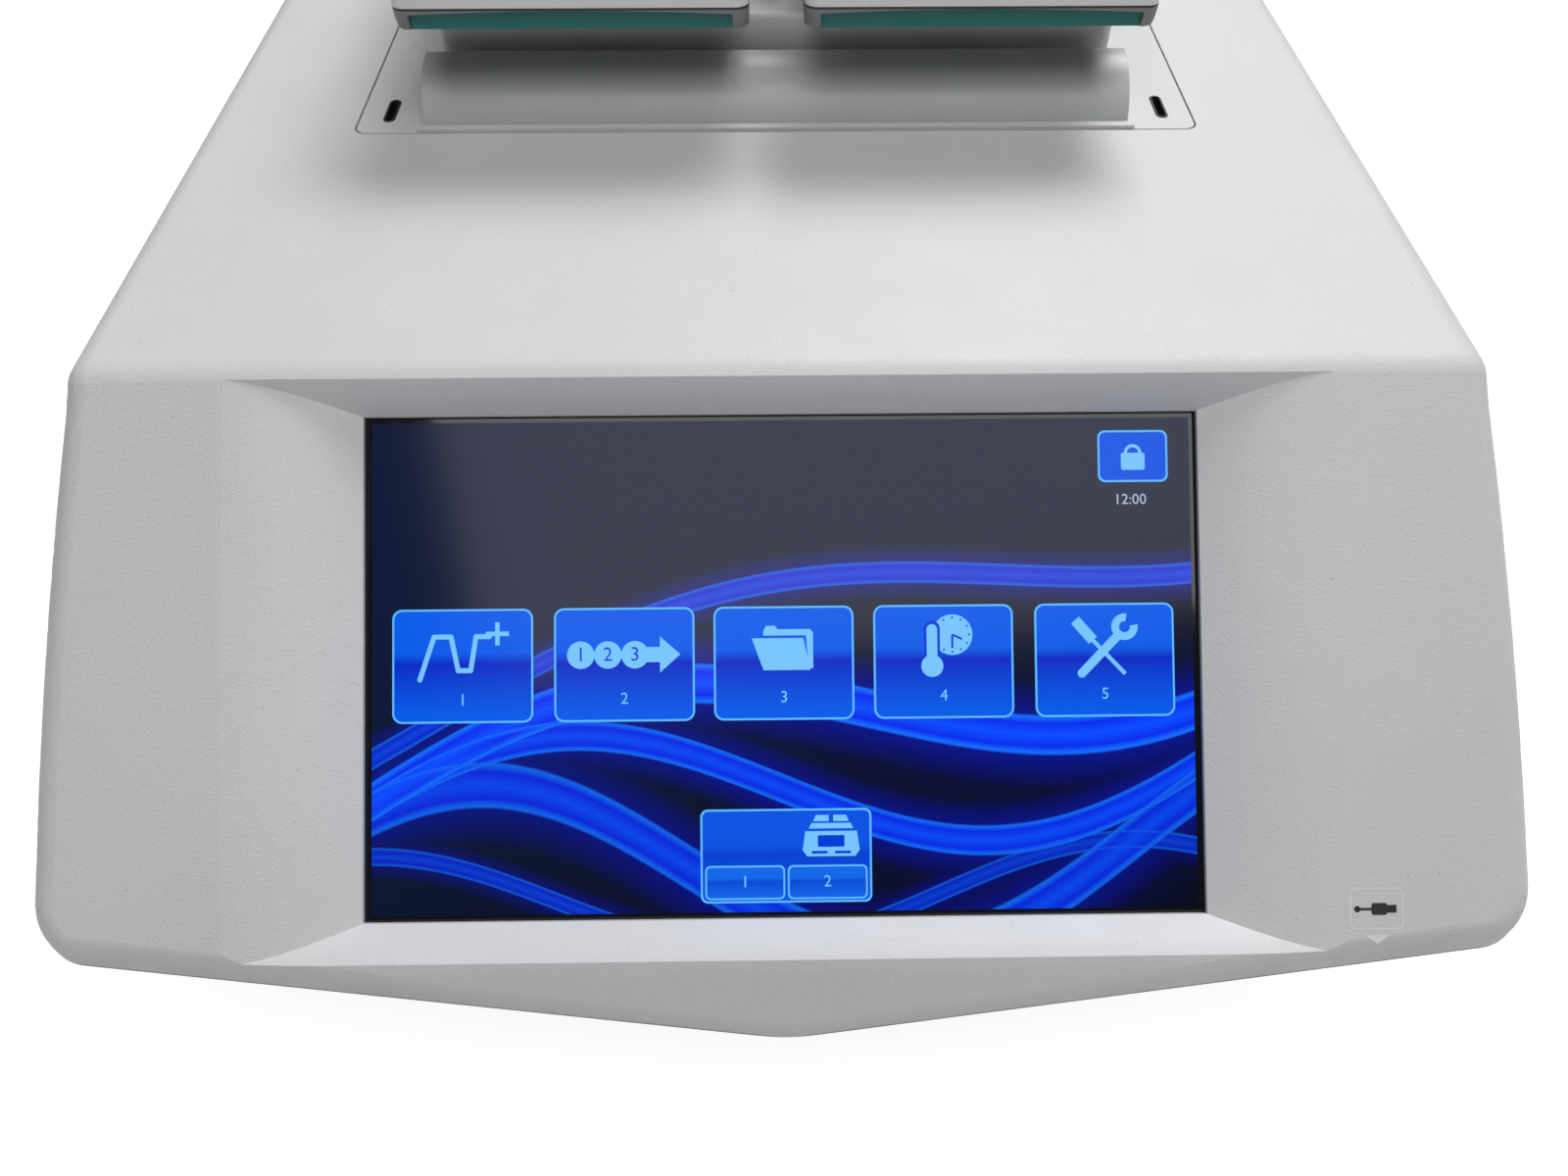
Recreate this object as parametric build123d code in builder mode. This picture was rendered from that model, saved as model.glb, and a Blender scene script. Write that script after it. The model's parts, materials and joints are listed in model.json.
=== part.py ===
from build123d import *

import os
from math import asin, cos, radians, sin, sqrt, tan

os.makedirs("parts", exist_ok=True)

# A bench thermal cycler with two sample blocks under two lids and a sloping touch screen.
# Millimetres. +X to the operator's right, +Y to the back, +Z up, origin under the middle of the box.

# Casing: margins round the block module, and the two sloping surfaces
module_setback = 230.0
casing_tail = 56.0
top_side = 43.9
shoulder_swell = 6.0
face_angle = 42.0
top_angle = 5.0
chin_angle = 54.0
casing_wall = 3.0
casing_gap = 0.4
ridge_radius = 9.0
edge_radius = 7.0
lip_radius = 1.5
corner_radius = 12.0
apex_radius = 60.0
shoulder_radius = 60.0
chin_radius = 25.0
lip_sweep = 0.085
lip_rise = 0.081
lip_under_z = 62.0
under_radius = 120.0
lip_depth = 18.4

# Screen and the scoop that leads down to it
screen_width = 188.0
screen_height = 113.0
face_rise = 7.0
chin_setback = 9.8
chin_z = 79.4
chin_margin = 0.2
ridge_margin = 2.3
scoop_side = 31.0
scoop_top = 7.3
scoop_knee = 0.55
scoop_lift = 0.75
scoop_blend = 0.05
bezel_lip = 1.2
glass_margin = 3.0
glass_thickness = 1.1
glass_gap = 0.3
gasket_thickness = 0.4
lcd_thickness = 7.0
lcd_margin = 4.0
display_block_side = 34.0
display_block_rise = 9.5
display_block_depth = 5.0
display_boss_radius = 4.0
display_boss_hole = 1.5
display_boss_side = 18.0
display_boss_drop = 14.5
bracket_margin = 6.0
bracket_thickness = 1.5
bracket_lightening = 60.0
controller_width = 160.0
controller_height = 90.0
standoff_height = 5.0
standoff_radius = 3.0
board_thickness = 1.6
chip_height = 2.5
transformer_height = 10.0

# Base hull
hull_bottom_z = 9.0
hull_band_z = 57.0
hull_side_taper = 23.0
hull_bottom_setback = 40.0
hull_rear_setback = 8.0
hull_wall = 3.0
hull_tongue = 1.0
post_radius = 5.0
post_side = 18.0
post_lead = 80.0
post_tail = 25.0
post_height = 22.0
foot_radius = 11.0
foot_taper = 1.5
foot_side = 36.0
foot_lead = 95.0
foot_tail = 40.0

# Front air vents and the data port under the lip
vent_middle = 15.0
vent_side = 25.0
vent_height = 30.0
vent_taper = 14.0
vent_gap = 0.3
vent_rim = 2.0
vent_depth = 4.0
slat_count = 6
slat_thickness = 1.4
port_side = 8.0
port_width = 13.2
port_height = 6.0
port_wall = 0.8
port_depth = 14.0
port_tongue = 1.8
port_z = 50.0

# Rear panel and what it carries
panel_thickness = 2.0
panel_bottom_z = 60.0
panel_corner = 5.0
louvre_margin = 22.0
louvre_pitch = 9.0
louvre_width = 4.0
louvre_height = 56.0
louvre_z = 142.0
inlet_side = 55.0
inlet_z = 104.0
inlet_width = 27.0
inlet_height = 20.0
inlet_depth = 24.0
inlet_socket_depth = 16.0
inlet_flange = 5.0
inlet_flange_thickness = 2.5
inlet_wall = 2.0
blade_width = 2.0
blade_height = 4.0
blade_pitch = 7.0
switch_rise = 32.0
switch_width = 20.0
switch_height = 13.0
switch_gap = 0.4
switch_pin_radius = 1.5
switch_inset = 3.0
rocker_depth = 6.0
rocker_relief = 1.6
rocker_proud = 1.5
pin_running_gap = 0.05
io_z = 96.0
io_width = 52.0
io_height = 18.0
io_depth = 16.0
socket_depth = 12.0
network_width = 12.0
network_height = 10.0
network_offset = -14.0
data_offset = 9.6
data_pitch = 16.5

# Bay for the removable block module
seam = 0.6
plate_lead = 26.4
plate_tail = 23.6
plate_side = 20.6
plate_corner = 3.0
plate_thickness = 3.0
bay_side_inset = 4.1
bay_wall = 1.5
bay_front_inset = 3.5
fan_clearance = 13.0
bay_flange = 8.0
leg_size = 12.0

# Block module housing
tray_gap = 2.0
tray_wall = 1.5
tray_drop = 15.0
shelf_thickness = 2.0
deck_proud = 3.5
deck_inset = 1.0
deck_tail = 18.0
deck_wall = 2.5
deck_skirt = 23.5
deck_edge = 2.0
rib_width = 5.5
rib_height = 16.0
slot_inset = 7.9
slot_lead = 11.5
slot_length = 11.0
slot_width = 2.2
bead_side = 3.5
bead_depth = 2.2
bead_height = 1.0

# Locking bar
bar_side = 2.1
bar_lead = 2.7
bar_run = 18.3
bar_back = 2.5
bar_height = 12.0
bar_foot = 0.3
bar_bulge = 3.5
bar_wall = 2.2
bar_pivot_run = 15.8
bar_pivot_h = 5.0
bar_pin_radius = 2.0
bar_lug_radius = 3.5
bar_lug_width = 3.0
bar_lug_gap = 1.0

# Sample blocks
lid_gap = 14.0
block_border = 4.0
block_height = 20.0
block_stand = 4.0
well_pitch = 9.0
well_columns = 6
well_rows = 8
well_radius = 3.0
well_taper = 5.5
well_depth = 16.0
frame_rim = 4.0
frame_lip = 2.0
frame_gap = 0.2
frame_drop = 8.0
peltier_inset = 3.0
peltier_thickness = 4.0
sink_side = 9.0
sink_end = 7.0
sink_base = 8.0
fin_count = 15
fin_pitch = 4.6
fin_thickness = 1.2
fin_inset = 4.0
fin_drop = 55.0
fin_opening_gap = 1.5

# Lids
lid_stand = 8.0
lid_height = 34.0
lid_side_gap = 2.75
lid_wall = 2.5
lid_edge = 3.5
hinge_gap = 48.0
hinge_stand = 9.0
hinge_pin_radius = 2.5
barrel_radius = 6.0
barrel_half = 29.5
hinge_ear_radius = 7.0
hinge_ear_width = 4.0
hinge_ear_gap = 0.5
hinge_ear_heel = 3.0
hinge_base = 1.5
hinge_base_half_y = 10.0
lid_rear_overhang = 8.0
ring_wall = 6.0
slab_rise = 10.0
slab_thickness = 8.0
frame_ear_radius = 6.0
ring_front = 3.0
ring_gap_x = 3.0
ring_gap_y = 2.0
cover_fall = 11.5
cover_knee_radius = 60.0
cover_rear_radius = 13.0
cover_rear_rise = 4.5
cover_rear_gap = 1.0
cover_post_side = 9.0
cover_post_lead = 30.0
cover_post_tail = 18.0
cover_post_radius = 3.5

# Lever, its grip and its latch
lever_overhang = 34.0
lever_nose_rise = 5.0
lever_nose_tuck = 1.4
lever_brow_rise = 19.0
lever_brow_run = 35.0
lever_throw = 25.0
lever_clearance = 1.0
pivot_setback = 22.0
pivot_gap = 6.0
pivot_rise = 9.0
drum_gap = 0.7
drum_cover_angle = 40.0
lever_pin_radius = 3.0
lever_pin_inset = 0.5
grip_inset = 4.0
grip_height = 3.8
grip_crown = 1.0
grip_recess = 1.8
grip_depth = 4.0
lever_rib_lead = 5.0
lever_rib_depth = 6.0
lever_rib_drop = 12.0
hook_width = 12.0
hook_thickness = 3.0
hook_dip = 7.0
hook_knee = 5.0
keeper_gap = 0.5
keeper_half = 10.0
keeper_depth = 4.0
keeper_drop = 5.5
keeper_lead = 3.0
hook_slot_half = 8.0
hook_slot_length = 13.5

# Pressure screw, thumbwheel and heated plate
heater_inset = 1.0
heater_thickness = 5.0
heater_rise = 3.0
screw_radius = 4.0
boss_radius = 7.0
boss_height = 10.0
tower_wall = 3.0
tower_gap = 1.0
tower_drop = 5.0
tower_cap = 4.0
screw_dip = 1.0
screw_pocket = 3.0
stud_radius = 2.0
stud_height = 12.0
stud_inset_x = 6.0
stud_inset_y = 5.0
wheel_radius = 17.0
wheel_height = 13.5
wheel_lift = 0.5
wheel_hole_gap = 1.5
wheel_dish_radius = 12.0
wheel_dish_depth = 1.2
knurl_count = 20
knurl_radius = 1.7

# Cooling fans and electronics under the bay
fan_size = 80.0
fan_depth = 25.0
fan_rim = 2.0
fan_hub = 16.0
fan_blade_gap = 1.2
fan_blades = 7
fan_blade_pitch = 35.0
fan_blade_chord = 20.0
fan_blade_thickness = 1.6
fan_shaft = 2.5
fan_strut = 4.0
fan_base = 3.0
supply_width = 120.0
supply_height = 32.0
supply_gap = 20.0
supply_tail = 22.0
supply_slots = 8
mainboard_side = 18.0
mainboard_lead = 75.0
mainboard_tail = 35.0
dock_width = 70.0
dock_length = 12.0
dock_height = 12.0
dock_lead = 4.0
dock_wall = 2.0
dock_gap = 0.5
case_screw_radius = 2.0
case_screw_head = 4.0
case_screw_head_height = 2.4

# Worked-out widths, from the wells out to the casing
sin_face, cos_face = sin(radians(face_angle)), cos(radians(face_angle))
sin_top, cos_top = sin(radians(top_angle)), cos(radians(top_angle))
sides = (("left", -1), ("right", 1))
block_width = well_pitch * well_columns + 2 * block_border
block_length = well_pitch * well_rows + 2 * block_border
sink_width = block_width + 2 * sink_side
sink_length = block_length + 2 * sink_end
fin_length = sink_length - 2 * fin_inset
heater_width = block_width - 2 * heater_inset
heater_length = block_length - 2 * heater_inset
ring_half = heater_width / 2 + ring_gap_x
frame_half = ring_half + ring_wall
lid_half = frame_half + lid_wall + lid_side_gap
lid_pitch = 2 * lid_half + lid_gap
deck_half = lid_pitch / 2 + lid_half - deck_inset
bead_half = deck_half + bead_side
bar_half = deck_half + bar_side
plate_half = deck_half + plate_side
slot_x = plate_half - slot_inset
bay_half = plate_half - bay_side_inset
top_half = plate_half + top_side
front_half = top_half + shoulder_swell
hull_bottom_half = top_half - hull_side_taper
post_x = hull_bottom_half - post_side
foot_x = hull_bottom_half - foot_side
port_x = hull_bottom_half - port_side
vent_width = hull_bottom_half - vent_side - vent_middle
vent_x = vent_middle + vent_width / 2
fan_bore = fan_size / 2 - fan_rim
mainboard_width = 2 * (post_x - mainboard_side)
inlet_x = top_half - inlet_side
io_x = -inlet_x
louvre_count = int(2 * (inlet_x - inlet_width / 2 - inlet_flange - louvre_margin) / louvre_pitch)
half_screen_x, half_screen_v = screen_width / 2, screen_height / 2
display_block_half_x = half_screen_x + display_block_side
display_block_half_v = half_screen_v + display_block_rise
display_boss_x = half_screen_x + display_boss_side
display_boss_v = half_screen_v - display_boss_drop

# Worked-out lengths, from the front to the back
deck_length = pivot_setback + pivot_gap + block_length + hinge_gap + deck_tail
casing_depth = module_setback + deck_length + casing_tail
front_y, rear_y = -casing_depth / 2, casing_depth / 2
deck_front_y = front_y + module_setback
deck_rear_y = deck_front_y + deck_length
plate_front_y = deck_front_y - plate_lead
plate_rear_y = deck_rear_y + plate_tail
pivot_y = deck_front_y + pivot_setback
lever_front_y = deck_front_y - lever_overhang
lever_rib_y = pivot_y - lever_rib_lead
keeper_front_y = pivot_y - keeper_lead
hook_slot_y = keeper_front_y - hook_slot_length / 2
block_y = pivot_y + pivot_gap + block_length / 2
hinge_y = block_y + block_length / 2 + hinge_gap
lid_rear_y = hinge_y + lid_rear_overhang
cover_post_front_y = block_y + cover_post_lead
cover_post_rear_y = hinge_y - cover_post_tail
dock_y = deck_rear_y + dock_lead
panel_y = rear_y - hull_rear_setback
post_front_y, post_rear_y = front_y + post_lead, rear_y - post_tail
foot_front_y, foot_rear_y = front_y + foot_lead, rear_y - foot_tail
supply_front_y = block_y + fan_size / 2 + supply_gap
supply_length = rear_y - supply_tail - supply_front_y
supply_y = supply_front_y + supply_length / 2
mainboard_length = module_setback - mainboard_lead - mainboard_tail
mainboard_y = front_y + mainboard_lead + mainboard_length / 2

# Worked-out heights: the screen's slope, then the top surface that rises to the back
ridge_v = half_screen_v + scoop_top + ridge_margin
chin_v = -half_screen_v - scoop_top - chin_margin
chin_y = front_y + chin_setback
lip_z = chin_z - chin_setback * tan(radians(chin_angle))
screen_y = chin_y - chin_v * cos_face + face_rise * sin_face
screen_z = chin_z - chin_v * sin_face - face_rise * cos_face


def face_point(v, n):
    """(y, z) of a point v up the sloping face from the screen's middle and n out of it."""
    return (screen_y + v * cos_face - n * sin_face, screen_z + v * sin_face + n * cos_face)


ridge_y, ridge_z = face_point(ridge_v, face_rise)


def top_point(s, h):
    """(y, z) of a point s back from the ridge along the top surface and h above it."""
    return (ridge_y + s * cos_top - h * sin_top, ridge_z + s * sin_top + h * cos_top)


def top_z(y, h=0.0):
    """Height of the plane h above the top surface, at y."""
    return ridge_z + (y - ridge_y) * tan(radians(top_angle)) + h / cos_top


plate_front_s = (plate_front_y - ridge_y) / cos_top
slot_s = plate_front_s + slot_lead
bar_front_s = plate_front_s + bar_lead
bar_top_s = bar_front_s + bar_run
bar_rear_s = bar_top_s + bar_back
bar_pivot_s = bar_front_s + bar_pivot_run
deck_z = top_z(deck_rear_y) + deck_proud
deck_skirt_z = deck_z - deck_skirt
block_top_z = deck_z + block_stand
block_bottom_z = block_top_z - block_height
peltier_bottom_z = block_bottom_z - peltier_thickness
sink_bottom_z = peltier_bottom_z - sink_base
shelf_z = sink_bottom_z - shelf_thickness
tray_bottom_z = sink_bottom_z - fin_drop - tray_drop
floor_z = hull_bottom_z + hull_wall
bay_floor_z = floor_z + fan_depth + fan_clearance
hinge_z = deck_z + hinge_stand
lid_bottom_z = deck_z + lid_stand
slab_bottom_z = lid_bottom_z + slab_rise
slab_top_z = slab_bottom_z + slab_thickness
cover_top_z = lid_bottom_z + lid_height
cover_rear_top_z = cover_top_z - cover_fall
pivot_z = lid_bottom_z + pivot_rise
drum_radius = cover_top_z - pivot_z
lever_nose_z = lid_bottom_z + lever_nose_rise
lever_clear_z = deck_z + lever_clearance
lever_rib_z = cover_top_z - lever_rib_drop
hook_bottom_z = deck_z - hook_dip
hook_knee_z = deck_z + hook_knee
heater_rest_z = lid_bottom_z + heater_rise
heater_top_z = heater_rest_z + heater_thickness
tower_top_z = cover_top_z - tower_drop
wheel_bottom_z = tower_top_z + wheel_lift

# Planes on the screen's slope
face_plane = Plane(origin=(0, screen_y, screen_z), x_dir=(1, 0, 0), z_dir=(0, -sin_face, cos_face))
across_plane = Plane(face_plane.origin, x_dir=(1, 0, 0), z_dir=(0, -cos_face, -sin_face))
along_plane = Plane(face_plane.origin, x_dir=(0, cos_face, sin_face), z_dir=(1, 0, 0))
far = 2 * max(casing_depth, front_half)


def finish(piece, name):
    """Labels a finished piece and writes it."""
    piece.part.label = name
    export_step(piece.part, f"parts/{name}.step")


def nearest(shapes, x, y):
    """The vertex of a flat sketch that lies nearest (x, y)."""
    return shapes.sort_by_distance((x, y, 0))[0]


def outer_edges(faces):
    """The edges that belong to only one of these faces."""
    edges = [edge for face in faces for edge in face.edges()]
    return [edge for edge in edges if sum(edge.is_same(other) for other in edges) == 1]


def casing_plan(z, rear_half, shoulder_half, apex_y, back_y, corner):
    """Plan of the casing at height z: parallel sides, a swelling shoulder, a shallow V in front."""
    corner_y = apex_y + lip_sweep * shoulder_half
    with BuildSketch(Plane.XY.offset(z)) as plan:
        with BuildLine():
            Line((0, apex_y), (shoulder_half, corner_y))
            TangentArc((shoulder_half, corner_y), (rear_half, ridge_y), tangent=(0, 1))
            Polyline((rear_half, ridge_y), (rear_half, back_y), (0, back_y))
            mirror(about=Plane.YZ)
        make_face()
        fillet(plan.vertices().group_by(Axis.Y)[2], shoulder_radius)
        fillet(plan.vertices().group_by(Axis.Y)[1], corner)
        fillet(plan.vertices().group_by(Axis.Y)[0], apex_radius)
    return plan.sketch


def below_lip(raised):
    """Section under the casing's shallow V underside, raised above it."""
    reach = 2 * front_half
    low = lip_under_z + raised
    with BuildSketch(Plane.XZ) as section:
        Polygon(
            (0, low),
            (reach, low + lip_rise * reach),
            (reach, -reach),
            (-reach, -reach),
            (-reach, low + lip_rise * reach),
            align=None,
        )
        fillet(nearest(section.vertices(), 0, low), under_radius)
    return section.sketch


# Tool for the scoop round the screen: two flares that cross, so that their creases meet its corners
scoop_rim = face_rise + scoop_blend
with BuildPart() as scoop:
    with BuildSketch(across_plane):
        with BuildLine():
            Bezier(
                (half_screen_x, 0),
                (half_screen_x + scoop_side / 2, scoop_rim),
                (half_screen_x + scoop_side, scoop_rim),
            )
            Polyline(
                (half_screen_x + scoop_side, scoop_rim),
                (half_screen_x + scoop_side, 3 * face_rise),
                (0, 3 * face_rise),
            )
            Line((half_screen_x, 0), (0, 0))
            mirror(about=Plane.YZ)
        make_face()
    extrude(amount=screen_height, both=True)
    with BuildSketch(along_plane):
        with BuildLine():
            Bezier(
                (half_screen_v, 0),
                (half_screen_v + scoop_top * scoop_knee, scoop_rim * scoop_lift),
                (half_screen_v + scoop_top, scoop_rim),
            )
            Polyline(
                (half_screen_v + scoop_top, scoop_rim),
                (half_screen_v + 2 * scoop_top, 3 * face_rise),
                (0, 3 * face_rise),
            )
            Line((half_screen_v, 0), (0, 0))
            mirror(about=Plane.YZ)
        make_face()
    extrude(amount=screen_width, both=True, mode=Mode.INTERSECT)

# Tool for the hollow of the top cover, with the block that backs the screen left standing
normal_turn = 1 + cos(radians(face_angle - top_angle))
inner_ridge = (
    ridge_y + casing_wall * (sin_face + sin_top) / normal_turn,
    ridge_z - casing_wall * (cos_face + cos_top) / normal_turn,
)
with BuildPart() as hollow:
    with BuildSketch(Plane.YZ):
        inner_low = face_point(-2 * ridge_v, face_rise - casing_wall)
        Polygon(
            inner_ridge,
            (far, top_z(far, -casing_wall)),
            (far, 0),
            (inner_low[0], 0),
            inner_low,
            align=None,
        )
    extrude(amount=front_half, both=True)
    extrude(
        casing_plan(
            0,
            top_half - casing_wall,
            front_half - casing_wall,
            front_y + lip_depth,
            far,
            corner_radius - casing_wall,
        ),
        amount=far,
        mode=Mode.INTERSECT,
    )
    with BuildSketch(face_plane.offset(-display_block_depth)):
        Rectangle(2 * display_block_half_x, 2 * display_block_half_v)
    extrude(amount=far, mode=Mode.SUBTRACT)

# Top cover: moulded fascia, top surface and side walls in one piece
with BuildPart() as top_cover:
    with BuildSketch(Plane.YZ) as wedge:
        Polygon(
            (rear_y, 0),
            (rear_y, top_z(rear_y)),
            (ridge_y, ridge_z),
            (chin_y, chin_z),
            (front_y - casing_wall, lip_z - casing_wall * tan(radians(chin_angle))),
            (front_y - casing_wall, 0),
            align=None,
        )
        fillet(nearest(wedge.vertices(), ridge_y, ridge_z), ridge_radius)
        fillet(nearest(wedge.vertices(), chin_y, chin_z), chin_radius)
    extrude(amount=front_half, both=True)
    apex_rounding = apex_radius * (sqrt(1 + lip_sweep**2) - 1)
    outline = casing_plan(0, top_half, front_half, front_y - apex_rounding, rear_y, corner_radius)
    extrude(outline, amount=far, mode=Mode.INTERSECT)
    extrude(below_lip(0), amount=far, both=True, mode=Mode.SUBTRACT)
    upper = top_cover.faces().filter_by(lambda f: f.normal_at().Z > 0.1)
    crown = [e for e in outer_edges(upper) if e.center().Y < rear_y - 1]
    fillet(crown, edge_radius)
    lower = top_cover.faces().filter_by(lambda f: f.normal_at().Z < -0.5)
    rim = [e for e in outer_edges(lower) if e.center().Y < rear_y - 1]
    fillet(rim, lip_radius)
    add(hollow.part, mode=Mode.SUBTRACT)
    add(scoop.part, mode=Mode.SUBTRACT)
    with BuildSketch(face_plane.offset(-far / 2)):
        Rectangle(screen_width, screen_height)
    extrude(amount=far, mode=Mode.SUBTRACT)
    with BuildSketch(face_plane.offset(-bezel_lip)):
        Rectangle(
            screen_width + 2 * (glass_margin + glass_gap),
            screen_height + 2 * (glass_margin + glass_gap),
        )
    extrude(amount=-2 * lcd_thickness, mode=Mode.SUBTRACT)
    with BuildSketch(face_plane.offset(-display_block_depth)):
        with GridLocations(2 * display_boss_x, 2 * display_boss_v, 2, 2):
            Circle(display_boss_radius)
    boss_drop = bezel_lip + gasket_thickness + glass_thickness + lcd_thickness - display_block_depth
    extrude(amount=-boss_drop)
    with BuildSketch(face_plane.offset(-display_block_depth - boss_drop)):
        with GridLocations(2 * display_boss_x, 2 * display_boss_v, 2, 2):
            Circle(display_boss_hole)
    extrude(amount=boss_drop, mode=Mode.SUBTRACT)
    with BuildSketch(Plane.XY.offset(screen_z)) as bay_mouth:
        with Locations((0, (plate_front_y + plate_rear_y) / 2)):
            Rectangle(2 * (plate_half + seam), plate_rear_y - plate_front_y + 2 * seam)
        fillet(bay_mouth.vertices(), plate_corner + seam)
    extrude(amount=far, mode=Mode.SUBTRACT)
finish(top_cover, "top_cover")

# Base hull: an open tray that tapers down to the feet, with cut-outs for the vents and the port
band_half = top_half - casing_wall - casing_gap
band_shoulder = front_half - casing_wall - casing_gap
band_apex_y = front_y + lip_depth + casing_gap
base_apex_y = front_y + hull_bottom_setback
hull_run = hull_band_z - hull_bottom_z


def hull_form(inset, low_z):
    """The hull's closed form, drawn in by inset and starting at low_z."""
    share = (low_z - hull_bottom_z) / hull_run
    low_half = hull_bottom_half + (band_half - hull_bottom_half) * share - inset
    low_apex = base_apex_y + (band_apex_y - base_apex_y) * share + inset
    low = (low_half, low_half, low_apex, panel_y - inset, corner_radius)
    high = (band_half - inset, band_shoulder - inset, band_apex_y + inset, panel_y - inset, corner_radius)
    with BuildPart() as form:
        loft([hull_plan(low_z, *low), hull_plan(hull_band_z, *high)], ruled=True)
        extrude(hull_plan(hull_band_z, *high), amount=lip_under_z)
    return form.part


def hull_plan(z, rear_half, shoulder_half, apex_y, back_y, corner):
    """Plan of the hull at height z, with the same shallow V in front as the cover."""
    corner_y = apex_y + lip_sweep * shoulder_half
    with BuildSketch(Plane.XY.offset(z)) as plan:
        with BuildLine():
            Polyline(
                (0, apex_y),
                (shoulder_half, corner_y),
                (rear_half, ridge_y),
                (rear_half, back_y),
                (0, back_y),
            )
            mirror(about=Plane.YZ)
        make_face()
        fillet(plan.vertices().group_by(Axis.Y)[-1].sort_by(Axis.X)[0], corner)
        fillet(plan.vertices().group_by(Axis.Y)[-1].sort_by(Axis.X)[-1], corner)
        fillet(plan.vertices().group_by(Axis.Y)[1], corner)
    return plan.sketch


vent_tilt = (band_apex_y - base_apex_y) / hull_run


def vent_plane(side, x, z):
    """Plane on the hull's sloping front wall at (x, z), looking out of it."""
    y = base_apex_y + vent_tilt * (z - hull_bottom_z) + lip_sweep * x
    along = Vector(1, side * lip_sweep, 0)
    up = Vector(0, vent_tilt, 1)
    return Plane(origin=(side * x, y, z), x_dir=along, z_dir=along.cross(up))


vent_z = hull_bottom_z + hull_run / 2


def vent_shape(side, growth):
    """Trapezium of a front vent, grown all round."""
    with BuildSketch(vent_plane(side, vent_x, vent_z)) as shape:
        half, rise = vent_width / 2 + growth, vent_height / 2 + growth
        inner, outer = -side * half, side * half
        Polygon(
            (inner, -rise),
            (outer - side * vent_taper, -rise),
            (outer, rise),
            (inner, rise),
            align=None,
        )
    return shape.sketch


with BuildPart() as base_tray:
    add(hull_form(0, hull_bottom_z))
    add(hull_form(hull_wall, floor_z), mode=Mode.SUBTRACT)
    extrude(below_lip(hull_tongue), amount=far, both=True, mode=Mode.INTERSECT)
    with BuildSketch(Plane.XY.offset(floor_z)):
        with Locations((0, (post_front_y + post_rear_y) / 2)):
            with GridLocations(2 * post_x, post_rear_y - post_front_y, 2, 2):
                Circle(post_radius)
    extrude(amount=post_height)
    for name, side in sides:
        extrude(vent_shape(side, vent_gap), amount=hull_wall * 3, both=True, mode=Mode.SUBTRACT)
    with BuildSketch(vent_plane(1, port_x, port_z)):
        Rectangle(port_width + 2 * vent_gap, port_height + 2 * vent_gap)
    extrude(amount=hull_wall * 3, both=True, mode=Mode.SUBTRACT)
    with BuildSketch(Plane.XY.offset(hull_bottom_z)):
        with Locations((0, (post_front_y + post_rear_y) / 2)):
            with GridLocations(2 * post_x, post_rear_y - post_front_y, 2, 2):
                Circle(case_screw_radius)
    extrude(amount=hull_wall + post_height / 2, mode=Mode.SUBTRACT)
finish(base_tray, "base_tray")

# Feet: four rubber cones under the hull
with BuildPart() as feet:
    with BuildSketch(Plane.XY.offset(hull_bottom_z)):
        with Locations((0, (foot_front_y + foot_rear_y) / 2)):
            with GridLocations(2 * foot_x, foot_rear_y - foot_front_y, 2, 2):
                Circle(foot_radius)
    extrude(amount=-hull_bottom_z, taper=foot_taper)
finish(feet, "feet")

# Screws that hold the casing together from below
with BuildPart() as case_screws:
    with BuildSketch(Plane.XY.offset(hull_bottom_z)):
        with Locations((0, (post_front_y + post_rear_y) / 2)):
            with GridLocations(2 * post_x, post_rear_y - post_front_y, 2, 2):
                Circle(case_screw_head)
    extrude(amount=-case_screw_head_height)
    with BuildSketch(Plane.XY.offset(hull_bottom_z)):
        with Locations((0, (post_front_y + post_rear_y) / 2)):
            with GridLocations(2 * post_x, post_rear_y - post_front_y, 2, 2):
                Circle(case_screw_radius)
    extrude(amount=hull_wall + post_height / 2)
finish(case_screws, "case_screws")

# Front vents: a trapezium frame with slats across it
for name, side in sides:
    with BuildPart() as slats:
        with BuildSketch(vent_plane(side, vent_x, vent_z)):
            with GridLocations(0, vent_height / slat_count, 1, slat_count - 1):
                Rectangle(2 * vent_width, slat_thickness)
        extrude(amount=-vent_depth)
        extrude(vent_shape(side, -vent_rim / 2), amount=far, both=True, mode=Mode.INTERSECT)
    with BuildPart() as front_vent:
        extrude(vent_shape(side, 0), amount=-vent_depth)
        extrude(vent_shape(side, -vent_rim), amount=far, both=True, mode=Mode.SUBTRACT)
        add(slats.part)
    finish(front_vent, f"front_vent_{name}")

# Data port under the lip: a folded shell with a tongue
port_plane = vent_plane(1, port_x, port_z)
with BuildPart() as front_port:
    with BuildSketch(port_plane):
        Rectangle(port_width, port_height)
    extrude(amount=-port_depth)
    with BuildSketch(port_plane):
        Rectangle(port_width - 2 * port_wall, port_height - 2 * port_wall)
    extrude(amount=port_wall - port_depth, mode=Mode.SUBTRACT)
    with BuildSketch(port_plane.offset(-port_depth)):
        with Locations((0, port_height / 2 - port_wall - port_tongue / 2)):
            Rectangle(port_width - 2 * port_wall, port_tongue)
    extrude(amount=port_depth - port_wall)
finish(front_port, "front_data_port")

# Screen stack: gasket, touch glass, panel, bracket and controller board
glass_width = screen_width + 2 * glass_margin
glass_height = screen_height + 2 * glass_margin
with BuildPart() as display_gasket:
    with BuildSketch(face_plane.offset(-bezel_lip)):
        Rectangle(glass_width, glass_height)
        Rectangle(screen_width, screen_height, mode=Mode.SUBTRACT)
    extrude(amount=-gasket_thickness)
finish(display_gasket, "display_gasket")

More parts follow.
